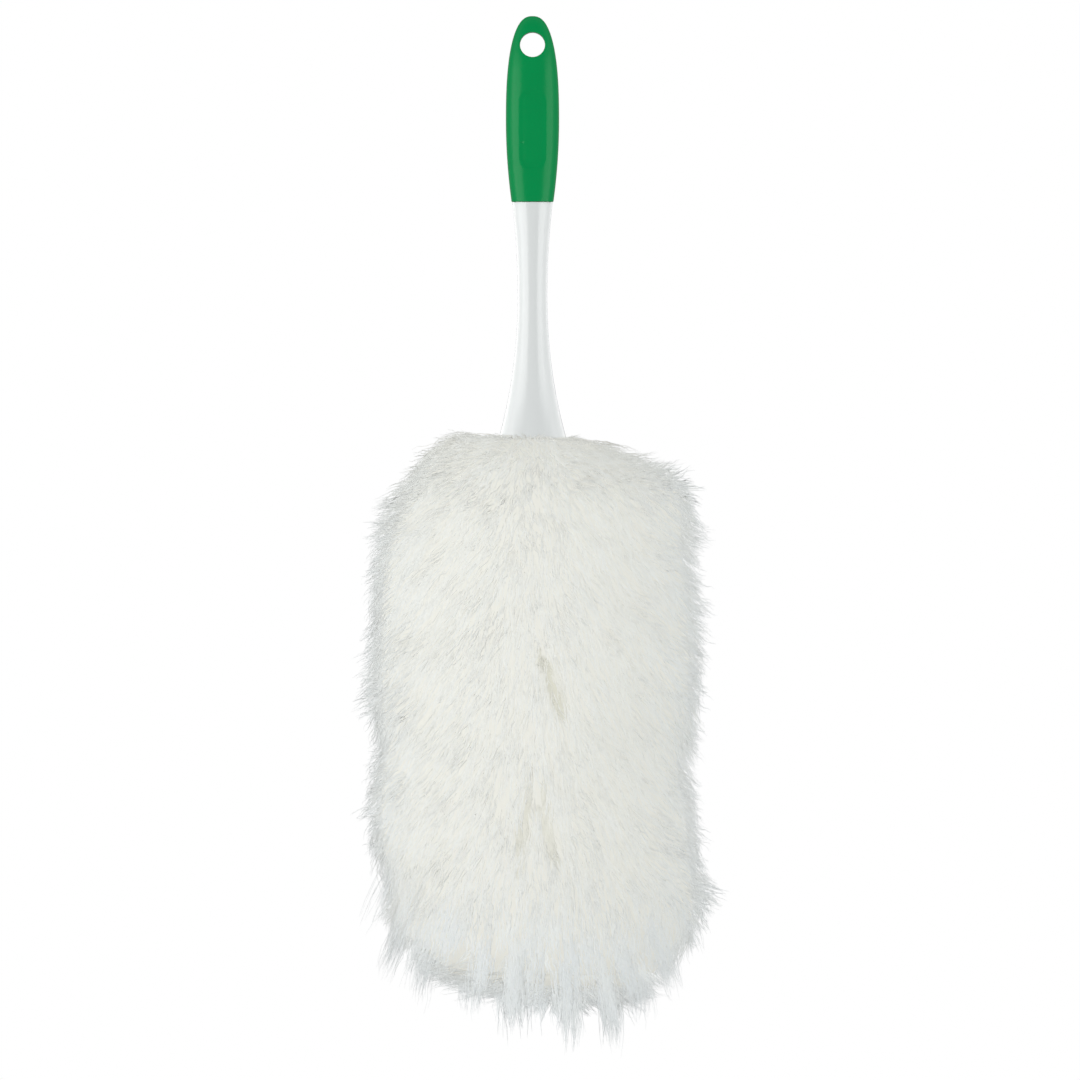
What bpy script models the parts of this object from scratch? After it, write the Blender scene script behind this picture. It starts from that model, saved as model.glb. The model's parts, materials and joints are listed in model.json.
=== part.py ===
"""A lambswool duster, built as an assembly of separate pieces.

A white moulded handle carries a green rubber grip with a hanging hole. The handle's trumpet mouth is a
socket for a beech core, which a screw holds from the back. A strip of sheepskin is wound round the core
and tacked at both ends, a disc of sheepskin is nailed under the core, and their wool makes the head.

The origin is the middle of the hanging hole. +Z runs up the handle, and the front faces -Y.
Every size is in metres.
"""

import math
import random

import bmesh
import bpy

# Gap between pieces that touch
CLEARANCE = 0.0003

# Grip: a rubber sleeve, closed at the top round the hanging hole
HOLE_RADIUS = 0.0075
TIP_MARGIN = 0.0099
GRIP_LENGTH = 0.1116
GRIP_WALL = 0.0026
BELLY_DROP = 0.045
BELLY_HALF_WIDTH = 0.016
BELLY_HALF_DEPTH = 0.012
MOUTH_HALF_WIDTH = 0.0126
MOUTH_HALF_DEPTH = 0.0108
WIDTH_ROUNDING = 2.5
DEPTH_ROUNDING = 2.0
GRIP_SQUARENESS = 2.3
GRIP_EDGE = 0.0006

# Shallow thumb rest sunk in the front of the grip
REST_DROP = 0.051
REST_LENGTH = 0.050
REST_HALF_WIDTH = 0.0085
REST_DEPTH = 0.0006
REST_SLOPE = 0.0030

# Handle: a tang inside the grip, and a neck that narrows to a waist and flares to a rim
TANG_TO_HOLE = 0.0065
TANG_DOME = 0.008
TANG_CAP = 0.008
NECK_LENGTH = 0.1455
NECK_STEP = 0.0005
WAIST_DROP = 0.0555
WAIST_RADIUS = 0.00885
WAIST_WALL = 0.0038
RIM_RADIUS = 0.0215
FLARE_POWER = 2.1
NECK_WALL = 0.0022
SKIRT_WALL = 0.0024
FIN_THICKNESS = 0.0016
FIN_SETBACK = 0.003
FIN_BLADES = 3
HOLLOW_STEP = 0.002

# Beech core, which goes up into the socket
DOWEL_RADIUS = 0.008
DOWEL_LENGTH = 0.3075
DOWEL_CHAMFER = 0.001

# Countersunk screw through the back of the neck
SCREW_HEAD_RADIUS = 0.0031
SCREW_RADIUS = 0.0014
SCREW_LENGTH = 0.013
SCREW_EDGE = 0.0003
SCREW_SLOT_WIDTH = 0.0008
SCREW_SLOT_DEPTH = 0.0009

# Sheepskin strip, wound round the core
HIDE_THICKNESS = 0.002
WIND_PITCH = 0.031
WIND_GAP = 0.001
STRIP_START = 0.003
STRIP_END = 0.001

# Tacks at the ends of the strip
TACK_HEAD_RADIUS = 0.0028
TACK_HEAD_THICKNESS = 0.0007
TACK_RADIUS = 0.0007
TACK_INSET = 0.007
TACK_TO_NAIL = 0.0012

# Nail that holds the disc of sheepskin under the core
NAIL_HEAD_RADIUS = 0.005
NAIL_HEAD_THICKNESS = 0.0012
NAIL_RADIUS = 0.0013
NAIL_LENGTH = 0.026

# Wool: how far it stands off the skin at the sides, at the front and back, and under the disc
SIDE_STAPLE = 0.0912
FRONT_STAPLE = 0.0842
END_STAPLE = 0.0805
COLLAR_COVER = 0.005
WOOL_SQUARENESS = 3.3
HEM_RADIUS = 0.064
HEM_THICKNESS = 0.006

# The wool of the disc hangs below the rest, a little to the right
TIP_DROP = 0.0195
TIP_LEAN = 0.016
TIP_STEPS = 5
TIP_RAGGEDNESS = 0.5

# The wool lies in tiers of locks of uneven width and length, whose tips hang over the roots of the next
LOCKS_ROUND = 15
LOCK_TIERS = 8
LOCK_RELIEF = 0.0075
LOOSE_AT_TOP = 0.35
LOCK_HANG = 0.7
LOCK_SCATTER = 0.3
LOCK_SEED = 4

# Places where the wool swells or draws in: side (0 is right, 180 left), share of the wool's height
# from its top, reach along the height, and how far it moves
SWELLS = (
    (0, 0.08, 0.08, 0.013),
    (180, 0.05, 0.10, -0.002),
    (180, 0.50, 0.25, -0.004),
    (0, 0.58, 0.08, -0.007),
    (0, 0.86, 0.10, 0.012),
    (180, 0.94, 0.08, -0.006),
)

# Fineness of the meshes
ROUND_SIDES = 40
TURNED_STEPS = 28
SMALL_STEPS = 16
WIND_STEPS = 20
SIDES_PER_LOCK = 6
SPARE = 0.004

# Heights that follow from the sizes, from the top down
GRIP_TOP = HOLE_RADIUS + TIP_MARGIN
GRIP_BOTTOM = GRIP_TOP - GRIP_LENGTH
BELLY_Z = -BELLY_DROP
TANG_TOP = -HOLE_RADIUS - TANG_TO_HOLE
NECK_TOP = GRIP_BOTTOM - CLEARANCE
WAIST_Z = NECK_TOP - WAIST_DROP
RIM = NECK_TOP - NECK_LENGTH


def grip_half(z, belly, mouth, rounding):
    """Half of the grip's width or depth at height z: a rounded end above the belly, a soft taper below it."""
    if z > BELLY_Z:
        rise = (z - BELLY_Z) / (GRIP_TOP - BELLY_Z)
        return belly * max(0.0, 1 - rise**rounding) ** (1 / rounding)
    fall = (BELLY_Z - z) / (BELLY_Z - GRIP_BOTTOM)
    return belly + (mouth - belly) * fall**2


def grip_halves(z):
    return (
        grip_half(z, BELLY_HALF_WIDTH, MOUTH_HALF_WIDTH, WIDTH_ROUNDING),
        grip_half(z, BELLY_HALF_DEPTH, MOUTH_HALF_DEPTH, DEPTH_ROUNDING),
    )


def neck_half(z, top):
    """Half of the neck's width or depth at height z, where top is that half just under the grip."""
    if z > WAIST_Z:
        rise = (z - WAIST_Z) / (NECK_TOP - WAIST_Z)
        return WAIST_RADIUS + (top - WAIST_RADIUS) * rise**2
    fall = (WAIST_Z - z) / (WAIST_Z - RIM)
    return WAIST_RADIUS + (RIM_RADIUS - WAIST_RADIUS) * fall**FLARE_POWER


def neck_halves(z):
    return (
        neck_half(z, MOUTH_HALF_WIDTH - NECK_STEP),
        neck_half(z, MOUTH_HALF_DEPTH - NECK_STEP),
    )


def flare_height(radius):
    """The height at which the flare has this radius. The neck is round from its waist down."""
    share = max(0.0, radius - WAIST_RADIUS) / (RIM_RADIUS - WAIST_RADIUS)
    return WAIST_Z - (WAIST_Z - RIM) * share ** (1 / FLARE_POWER)


CORE_HOLE_RADIUS = WAIST_RADIUS - WAIST_WALL
SOCKET_RADIUS = DOWEL_RADIUS + CLEARANCE
SOCKET_TOP = flare_height(SOCKET_RADIUS + NECK_WALL)
HOLLOW_TOP = flare_height(SOCKET_RADIUS + SKIRT_WALL + HOLLOW_STEP)
DOWEL_TOP = SOCKET_TOP - CLEARANCE
DOWEL_BOTTOM = DOWEL_TOP - DOWEL_LENGTH
SCREW_Z = (SOCKET_TOP + HOLLOW_TOP) / 2
HIDE_INNER = DOWEL_RADIUS + CLEARANCE
HIDE_OUTER = HIDE_INNER + HIDE_THICKNESS
STRIP_TOP = RIM - STRIP_START
STRIP_BOTTOM = DOWEL_BOTTOM + STRIP_END
STRIP_HEIGHT = WIND_PITCH - WIND_GAP
WIND_TURNS = (STRIP_TOP - STRIP_BOTTOM - STRIP_HEIGHT) / WIND_PITCH
DISC_TOP = DOWEL_BOTTOM - CLEARANCE
DISC_BOTTOM = DISC_TOP - HIDE_THICKNESS
TUFT_TOP = DISC_BOTTOM - CLEARANCE
WOOL_BORE = HIDE_OUTER + CLEARANCE
WOOL_TOP = RIM + COLLAR_COVER
WOOL_BOTTOM = TUFT_TOP - END_STAPLE
WOOL_TIP = WOOL_BOTTOM - TIP_DROP
WOOL_HALF_WIDTH = HIDE_OUTER + SIDE_STAPLE
WOOL_HALF_HEIGHT = (WOOL_TOP - WOOL_BOTTOM) / 2
WOOL_MIDDLE = (WOOL_TOP + WOOL_BOTTOM) / 2
WOOL_SIDES = LOCKS_ROUND * SIDES_PER_LOCK
LIP_RADIUS = neck_half(WOOL_TOP, 0) + CLEARANCE
COLLAR_RADIUS = RIM_RADIUS + CLEARANCE
DEPTH_SHARE = (HIDE_OUTER + FRONT_STAPLE - COLLAR_RADIUS) / (WOOL_HALF_WIDTH - COLLAR_RADIUS)


def clear_scene():
    for obj in list(bpy.data.objects):
        bpy.data.objects.remove(obj)


def new_collection(name):
    collection = bpy.data.collections.new(name)
    bpy.context.scene.collection.children.link(collection)
    return collection


def linear(part):
    """One part of an sRGB colour, from 0 to 255, as the linear value that Blender takes."""
    share = part / 255
    return share / 12.92 if share <= 0.04045 else ((share + 0.055) / 1.055) ** 2.4


def material(name, colour, roughness, metallic=0.0):
    made = bpy.data.materials.new(name)
    made.use_nodes = True
    shader = made.node_tree.nodes["Principled BSDF"]
    shader.inputs["Base Color"].default_value = (*(linear(part) for part in colour), 1)
    shader.inputs["Roughness"].default_value = roughness
    shader.inputs["Metallic"].default_value = metallic
    return made


def add(name, mesh, where, finish=None):
    obj = bpy.data.objects.new(name, mesh)
    where.objects.link(obj)
    if finish:
        mesh.materials.append(finish)
    return obj


def smooth(mesh):
    mesh.shade_smooth()
    mesh.set_sharp_from_angle(angle=math.radians(40))


def lofted(name, rings, where, finish=None, endless=False):
    """A skin over rings of points. A ring of one point is a pole, and an endless loft meets its own start."""
    bm = bmesh.new()
    loops = [[bm.verts.new(point) for point in ring] for ring in rings]
    pairs = list(zip(loops, loops[1:]))
    if endless:
        pairs.append((loops[-1], loops[0]))
    for low, high in pairs:
        count = max(len(low), len(high))
        for i in range(count):
            j = (i + 1) % count
            corners = [low[i % len(low)], low[j % len(low)], high[j % len(high)], high[i % len(high)]]
            bm.faces.new(dict.fromkeys(corners))
    if not endless:
        for loop in (loops[0], loops[-1]):
            if len(loop) > 2:
                bm.faces.new(loop)
    bmesh.ops.recalc_face_normals(bm, faces=bm.faces)
    mesh = bpy.data.meshes.new(name)
    bm.to_mesh(mesh)
    bm.free()
    smooth(mesh)
    return add(name, mesh, where, finish)


def turned(name, profile, where, finish=None, steps=TURNED_STEPS):
    """A round piece on its own Z axis, from (radius, height) points that run down its outer side."""
    mesh = bpy.data.meshes.new(name)
    points = [(radius, 0, height) for radius, height in profile]
    mesh.from_pydata(points, [(i, i + 1) for i in range(len(points) - 1)], [])
    obj = add(name, mesh, where, finish)
    screw = obj.modifiers.new("Turn", "SCREW")
    screw.steps = screw.render_steps = steps
    screw.use_merge_vertices = True
    screw.merge_threshold = 0.00001
    screw.use_smooth_shade = True
    return obj


def block(name, size, where):
    """A box of the given (x, y, z) size, centred on its own origin."""
    bm = bmesh.new()
    bmesh.ops.create_cube(bm, size=1)
    bmesh.ops.scale(bm, vec=size, verts=bm.verts)
    mesh = bpy.data.meshes.new(name)
    bm.to_mesh(mesh)
    bm.free()
    return add(name, mesh, where)


def rod(name, radius, length, sides, where):
    """A cylinder centred on its own origin, along its Z axis."""
    bm = bmesh.new()
    bmesh.ops.create_cone(bm, cap_ends=True, segments=sides, radius1=radius, radius2=radius, depth=length)
    mesh = bpy.data.meshes.new(name)
    bm.to_mesh(mesh)
    bm.free()
    return add(name, mesh, where)


def cut(obj, *cutters):
    for cutter in cutters:
        cutter.hide_render = True
        cutter.display_type = "WIRE"
        modifier = obj.modifiers.new("Cut " + cutter.name, "BOOLEAN")
        modifier.operation = "DIFFERENCE"
        modifier.object = cutter


def ring(z, half_width, half_depth, squareness, sides):
    """Points round a rounded section. A squareness of 2 is an ellipse, and more is boxier."""
    points = []
    for i in range(sides):
        c = math.cos(2 * math.pi * i / sides)
        s = math.sin(2 * math.pi * i / sides)
        x = math.copysign(half_width * abs(c) ** (2 / squareness), c)
        y = math.copysign(half_depth * abs(s) ** (2 / squareness), s)
        points.append((x, y, z))
    return points


def rest_sink(x, z):
    """How far the thumb rest is sunk at this place on the front of the grip."""
    straight = REST_LENGTH / 2 - REST_HALF_WIDTH
    beyond = max(0.0, abs(z + REST_DROP) - straight)
    inside = (REST_HALF_WIDTH - math.hypot(x, beyond)) / REST_SLOPE
    share = min(1.0, max(0.0, inside))
    return REST_DEPTH * share**2 * (3 - 2 * share)


def grip_outer_rings():
    """From the mouth up to the tip, closer together where the end rounds over."""
    half_width, half_depth = grip_halves(GRIP_BOTTOM)
    rings = [ring(GRIP_BOTTOM, half_width - GRIP_EDGE, half_depth - GRIP_EDGE, GRIP_SQUARENESS, ROUND_SIDES)]
    body_steps = 14
    end_steps = 12
    low = GRIP_BOTTOM + GRIP_EDGE
    heights = [low + (BELLY_Z - low) * i / body_steps for i in range(body_steps)]
    heights += [
        BELLY_Z + (GRIP_TOP - BELLY_Z) * math.sin(math.pi / 2 * i / end_steps) for i in range(end_steps)
    ]
    for z in heights:
        points = ring(z, *grip_halves(z), GRIP_SQUARENESS, ROUND_SIDES)
        rings.append([(x, y + rest_sink(x, z) if y < 0 else y, z) for x, y, z in points])
    rings.append([(0, 0, GRIP_TOP)])
    return rings


def tang_rings(grow, low):
    """The tang's skin, grown by a clearance where it is a cutter, from height low up to its domed top."""
    rings = []
    straight_steps = 8
    dome_steps = 4
    shoulder = TANG_TOP - TANG_DOME
    heights = [low + (shoulder - low) * i / straight_steps for i in range(straight_steps)]
    heights += [shoulder + TANG_DOME * math.sin(math.pi / 2 * i / dome_steps) for i in range(dome_steps)]
    for z in heights:
        half_width, half_depth = (half - GRIP_WALL - CLEARANCE for half in grip_halves(max(z, GRIP_BOTTOM)))
        closing = math.sqrt(1 - max(0.0, (z - shoulder) / TANG_DOME) ** 2)
        rings.append(
            ring(
                z + (grow if z > shoulder else 0),
                half_width * closing + grow,
                half_depth * closing + grow,
                GRIP_SQUARENESS,
                ROUND_SIDES,
            )
        )
    rings.append([(0, 0, TANG_TOP + grow)])
    return rings


def make_grip(parts, cutters, finish):
    grip = lofted("grip_sleeve", grip_outer_rings(), parts, finish)
    tang_space = lofted("tang_space", tang_rings(CLEARANCE, GRIP_BOTTOM - SPARE), cutters)
    hole = rod("hanging_hole", HOLE_RADIUS, 4 * BELLY_HALF_DEPTH, ROUND_SIDES, cutters)
    hole.rotation_euler.x = math.pi / 2
    cut(grip, tang_space, hole)
    return grip


def neck_rings():
    steps = 20
    rings = []
    for i in range(steps + 1):
        z = RIM + NECK_LENGTH * i / steps
        rings.append(ring(z, *neck_halves(z), 2, ROUND_SIDES))
    return rings


def skirt_hollow(cutters):
    """The space in the flare between the skirt and the socket, less the fins that stay in it."""
    steps = 8
    profile = [(0, HOLLOW_TOP)]
    for i in range(steps + 1):
        z = HOLLOW_TOP + (RIM - HOLLOW_TOP) * i / steps
        profile.append((neck_half(z, 0) - SKIRT_WALL, z))
    profile += [(profile[-1][0], RIM - SPARE), (0, RIM - SPARE)]
    hollow = turned("skirt_hollow", profile, cutters, steps=ROUND_SIDES)
    fin_bottom = RIM + FIN_SETBACK
    fin_top = HOLLOW_TOP + SPARE
    for i in range(FIN_BLADES):
        blade = block(f"fin_blade_{i + 1}", (FIN_THICKNESS, 4 * RIM_RADIUS, fin_top - fin_bottom), cutters)
        blade.location.z = (fin_top + fin_bottom) / 2
        blade.rotation_euler.z = math.pi * i / FIN_BLADES
        cut(hollow, blade)
    return hollow


def bore(name, radius, top, bottom, cutters):
    made = rod(name, radius, top - bottom, TURNED_STEPS, cutters)
    made.location.z = (top + bottom) / 2
    return made


def make_handle(parts, cutters, finish):
    outside = neck_rings() + tang_rings(0, NECK_TOP)
    handle = lofted("handle_body", outside, parts, finish)
    socket = bore("socket", SOCKET_RADIUS, SOCKET_TOP, RIM - SPARE, cutters)
    core_hole = bore("core_hole", CORE_HOLE_RADIUS, TANG_TOP - TANG_CAP, SOCKET_TOP - SPARE, cutters)
    cut(handle, skirt_hollow(cutters), socket, core_hole)
    return handle


def make_dowel(parts, finish):
    profile = [
        (0, 0),
        (DOWEL_RADIUS - DOWEL_CHAMFER, 0),
        (DOWEL_RADIUS, -DOWEL_CHAMFER),
        (DOWEL_RADIUS, DOWEL_CHAMFER - DOWEL_LENGTH),
        (DOWEL_RADIUS - DOWEL_CHAMFER, -DOWEL_LENGTH),
        (0, -DOWEL_LENGTH),
    ]
    dowel = turned("core_dowel", profile, parts, finish)
    dowel.location.z = DOWEL_TOP
    return dowel


def screw_profile(grow=0.0, above=0.0):
    """The countersunk screw with its head's top at height 0, or the space that it needs."""
    cone = SCREW_HEAD_RADIUS - SCREW_RADIUS
    tip = 2 * SCREW_RADIUS
    head = SCREW_HEAD_RADIUS + grow
    shank = SCREW_RADIUS + grow
    edge = SCREW_EDGE + grow
    return [
        (0, above),
        (head, above),
        (head, -edge),
        (shank, -edge - cone),
        (shank, tip - SCREW_LENGTH - grow),
        (0, -SCREW_LENGTH - 2 * grow),
    ]


def make_screw(parts, cutters, finish, handle, dowel):
    """Driven in from the back, so that its head lies just under the neck's surface."""
    head_y = math.sqrt(neck_half(SCREW_Z, 0) ** 2 - SCREW_HEAD_RADIUS**2)
    screw = turned("core_screw", screw_profile(), parts, finish, SMALL_STEPS)
    space = turned("screw_space", screw_profile(CLEARANCE, SPARE), cutters, steps=SMALL_STEPS)
    for obj in (screw, space):
        obj.location = (0, head_y, SCREW_Z)
        obj.rotation_euler.x = -math.pi / 2
    for i in range(2):
        slot = block(
            f"screw_slot_{i + 1}", (1.3 * SCREW_HEAD_RADIUS, SCREW_SLOT_WIDTH, 2 * SCREW_SLOT_DEPTH), cutters
        )
        slot.location = screw.location
        slot.rotation_euler = (-math.pi / 2, i * math.pi / 2, 0)
        cut(screw, slot)
    cut(handle, space)
    cut(dowel, space)
    return screw


def wind_point(angle):
    """The height of the middle of the strip where it has turned through this angle."""
    return STRIP_TOP - STRIP_HEIGHT / 2 - WIND_PITCH * angle / (2 * math.pi)


def make_strip(parts, finish):
    steps = round(WIND_TURNS * WIND_STEPS)
    rings = []
    for i in range(steps + 1):
        angle = 2 * math.pi * WIND_TURNS * i / steps
        z = wind_point(angle)
        section = [
            (radius, z + side * STRIP_HEIGHT / 2)
            for radius, side in ((HIDE_INNER, -1), (HIDE_OUTER, -1), (HIDE_OUTER, 1), (HIDE_INNER, 1))
        ]
        rings.append([(r * math.cos(angle), r * math.sin(angle), height) for r, height in section])
    return lofted("hide_strip", rings, parts, finish)


def nail_profile(head_radius, head_thickness, shank_radius, length, grow=0.0, above=0.0):
    """A flat-headed nail with its head's top at height 0, or the space that it needs."""
    shank = shank_radius + grow
    return [
        (0, above),
        (head_radius + grow, above),
        (head_radius + grow, -head_thickness - grow),
        (shank, -head_thickness - grow),
        (shank, 2 * shank_radius - length - grow),
        (0, -length - 2 * grow),
    ]


def make_tacks(parts, cutters, finish, strip, dowel):
    """Two tacks at each end of the strip, with heads sunk in the skin and points clear of the nail."""
    inset = TACK_INSET / HIDE_OUTER
    flush = math.sqrt(HIDE_OUTER**2 - TACK_HEAD_RADIUS**2)
    length = flush - NAIL_RADIUS - TACK_TO_NAIL
    sizes = (TACK_HEAD_RADIUS, TACK_HEAD_THICKNESS, TACK_RADIUS, length)
    ends = {"upper": inset, "lower": 2 * math.pi * WIND_TURNS - inset}
    for end, angle in ends.items():
        for i, side in enumerate((1, -1)):
            tack = turned(f"{end}_tack_{i + 1}", nail_profile(*sizes), parts, finish, SMALL_STEPS)
            space_profile = nail_profile(*sizes, CLEARANCE, SPARE)
            space = turned(f"{end}_tack_space_{i + 1}", space_profile, cutters, steps=SMALL_STEPS)
            for obj in (tack, space):
                obj.location = (
                    flush * math.cos(angle),
                    flush * math.sin(angle),
                    wind_point(angle) + side * STRIP_HEIGHT / 4,
                )
                obj.rotation_euler = (0, math.pi / 2, angle)
            cut(strip, space)
            cut(dowel, space)


def make_tip(parts, cutters, skin, steel, dowel):
    """The disc of sheepskin under the core, and the nail through it."""
    sizes = (NAIL_HEAD_RADIUS, NAIL_HEAD_THICKNESS, NAIL_RADIUS, NAIL_LENGTH)
    disc = turned(
        "tip_disc",
        [(0, 0), (HIDE_OUTER, 0), (HIDE_OUTER, -HIDE_THICKNESS), (0, -HIDE_THICKNESS)],
        parts,
        skin,
    )
    disc.location.z = DISC_TOP
    nail = turned("tip_nail", nail_profile(*sizes), parts, steel, SMALL_STEPS)
    space = turned("nail_space", nail_profile(*sizes, CLEARANCE, CLEARANCE), cutters, steps=SMALL_STEPS)
    head_z = DISC_BOTTOM - CLEARANCE - NAIL_HEAD_THICKNESS
    for obj in (nail, space):
        obj.location.z = head_z
        obj.rotation_euler.x = math.pi
    cut(disc, space)
    cut(dowel, space)
    return space


def wool_outline():
    """(radius, height) points down the outside of the wool, from the handle's rim round to the hem."""
    steps = 240
    points = []
    for i in range(steps + 1):
        angle = math.pi * i / steps
        radius = WOOL_HALF_WIDTH * math.sin(angle) ** (2 / WOOL_SQUARENESS)
        rise = math.copysign(abs(math.cos(angle)) ** (2 / WOOL_SQUARENESS), math.cos(angle))
        z = WOOL_MIDDLE + WOOL_HALF_HEIGHT * rise
        if radius > (LIP_RADIUS if rise > 0 else HEM_RADIUS):
            points.append((radius, z))
    return [(LIP_RADIUS, WOOL_TOP), *points]


def walk(outline):
    """A function that gives the point at a share of an outline's length, and the outward direction there."""
    lengths = [0.0]
    for a, b in zip(outline, outline[1:]):
        lengths.append(lengths[-1] + math.dist(a, b))

    def at(share):
        wanted = min(1.0, max(0.0, share)) * lengths[-1]
        i = next((k for k in range(1, len(lengths) - 1) if lengths[k] >= wanted), len(lengths) - 1)
        a, b = outline[i - 1], outline[i]
        along = (wanted - lengths[i - 1]) / (lengths[i] - lengths[i - 1])
        span = math.dist(a, b)
        place = (a[0] + (b[0] - a[0]) * along, a[1] + (b[1] - a[1]) * along)
        return place, ((a[1] - b[1]) / span, (b[0] - a[0]) / span)

    return at


def scatter_locks(tiers):
    """For each tier, where each lock starts round the head, in turns, and how long and full it is."""
    pick = random.Random(LOCK_SEED)
    rows = []
    for tier in range(tiers):
        row = []
        for k in range(LOCKS_ROUND):
            start = (k + tier / 2 + pick.uniform(0, LOCK_SCATTER)) / LOCKS_ROUND
            row.append((start % 1, pick.uniform(1 - 2 * LOCK_SCATTER, 1)))
        rows.append(sorted(row))
    return rows


def lock_at(row, turn):
    """0 in the notch between two locks of a row, and up to 1 at a lock's tip."""
    place = turn % 1
    before = [lock for lock in row if lock[0] <= place] or [(row[-1][0] - 1, row[-1][1])]
    after = [lock for lock in row if lock[0] > place] or [(row[0][0] + 1, row[0][1])]
    start, size = before[-1]
    along = (place - start) / (after[0][0] - start)
    return size * (1 - abs(2 * along - 1))


def swell(angle, z):
    """How far the wool stands out of its even shape at this side and height."""
    depth = (WOOL_TOP - z) / (WOOL_TOP - WOOL_BOTTOM)
    total = 0.0
    for side, place, reach, amount in SWELLS:
        facing = max(0.0, math.cos(angle - math.radians(side)))
        total += amount * facing**2 * math.exp(-(((depth - place) / reach) ** 2))
    return total


def wool_point(angle, radius, z, out=0.0):
    """A point of the wool, which is a little flatter from front to back outside the handle's rim."""
    half_depth = min(radius, COLLAR_RADIUS) + max(0.0, radius - COLLAR_RADIUS) * DEPTH_SHARE
    return ((radius + out) * math.cos(angle), (half_depth + out) * math.sin(angle), z)


def wool_ring(radius, z, sides=WOOL_SIDES):
    return [wool_point(2 * math.pi * i / sides, radius, z) for i in range(sides)]


def locks_rings(at):
    """Tiers of overlapping locks of wool, each of which swells down to its tip and then steps in."""
    rows = scatter_locks(LOCK_TIERS + 1)
    rings = []
    for tier in range(LOCK_TIERS):
        for share, height in ((0.06, 0.0), (0.5, 0.7), (0.94, 1.0)):
            points = []
            for i in range(WOOL_SIDES):
                turn = i / WOOL_SIDES
                angle = 2 * math.pi * turn
                full = lock_at(rows[tier + 1], turn)
                hang = (1 - share) * lock_at(rows[tier], turn) + share * full
                (radius, z), (out_r, out_z) = at((tier + share + LOCK_HANG * (hang - 0.5)) / LOCK_TIERS)
                loose = min(1, LOOSE_AT_TOP + (tier + share) / LOCK_TIERS)
                relief = LOCK_RELIEF * loose * (height * (0.3 + 0.7 * full) - 0.5)
                points.append(wool_point(angle, radius, z + relief * out_z, relief * out_r + swell(angle, z)))
            rings.append(points)
    return rings


def make_wool(parts, finish):
    """The wool of the strip, with a bore for the wound core and a collar round the handle's rim."""
    at = walk(wool_outline())
    under_rim = RIM - CLEARANCE
    rings = [
        wool_ring(WOOL_BORE, TUFT_TOP),
        wool_ring(WOOL_BORE, under_rim),
        wool_ring(COLLAR_RADIUS, under_rim),
        wool_ring(COLLAR_RADIUS, RIM),
        wool_ring(LIP_RADIUS, WOOL_TOP),
        *locks_rings(at),
        wool_ring(HEM_RADIUS - HEM_THICKNESS, at(1)[0][1]),
    ]
    lofted("wool_pile", rings, parts, finish, endless=True)


def make_tuft(parts, finish, nail_space):
    """The wool of the disc, inside the hem of the rest, with a gap square to their sloping faces."""
    hem_z = wool_outline()[-1][1]
    outer = HEM_RADIUS - HEM_THICKNESS
    gap = 2 * CLEARANCE * math.hypot(outer - WOOL_BORE, TUFT_TOP - hem_z) / (TUFT_TOP - hem_z)
    sides = WOOL_SIDES // 2
    rings = [wool_ring(WOOL_BORE - gap, TUFT_TOP, sides), wool_ring(outer - gap, hem_z, sides)]
    row = scatter_locks(1)[0]
    for step in range(1, TIP_STEPS):
        share = step / TIP_STEPS
        points = []
        for i in range(sides):
            hang = TIP_RAGGEDNESS * (lock_at(row, i / sides) - 1) * math.sin(math.pi * share**0.5)
            x, y, z = wool_point(2 * math.pi * i / sides, (outer - gap) * (1 - share), hem_z)
            points.append((x + TIP_LEAN * share, y, z + (WOOL_TIP - hem_z) * (share**0.35 + hang)))
        rings.append(points)
    rings.append([(TIP_LEAN, 0, WOOL_TIP)])
    tuft = lofted("tip_tuft", rings, parts, finish)
    cut(tuft, nail_space)


def main():
    clear_scene()
    parts = new_collection("Lambswool duster")
    cutters = new_collection("Cutters")
    rubber = material("Green rubber", (4, 138, 74), 0.45)
    plastic = material("White plastic", (240, 241, 240), 0.25)
    beech = material("Beech", (205, 170, 122), 0.6)
    skin = material("Sheepskin", (226, 212, 184), 0.85)
    wool = material("Wool", (233, 234, 228), 0.95)
    steel = material("Steel", (170, 172, 175), 0.35, 1.0)

    make_grip(parts, cutters, rubber)
    handle = make_handle(parts, cutters, plastic)
    dowel = make_dowel(parts, beech)
    strip = make_strip(parts, skin)
    make_screw(parts, cutters, steel, handle, dowel)
    make_tacks(parts, cutters, steel, strip, dowel)
    nail_space = make_tip(parts, cutters, skin, steel, dowel)
    make_wool(parts, wool)
    make_tuft(parts, wool, nail_space)

    duster = bpy.data.objects.new("duster", None)
    parts.objects.link(duster)
    for obj in parts.objects:
        if obj is not duster:
            obj.parent = duster


main()
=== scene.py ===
import json
import math

import bmesh
import bpy
import numpy as np
from bpy.props import FloatProperty, FloatVectorProperty, IntProperty, PointerProperty
from mathutils import Matrix, Vector, noise


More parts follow.
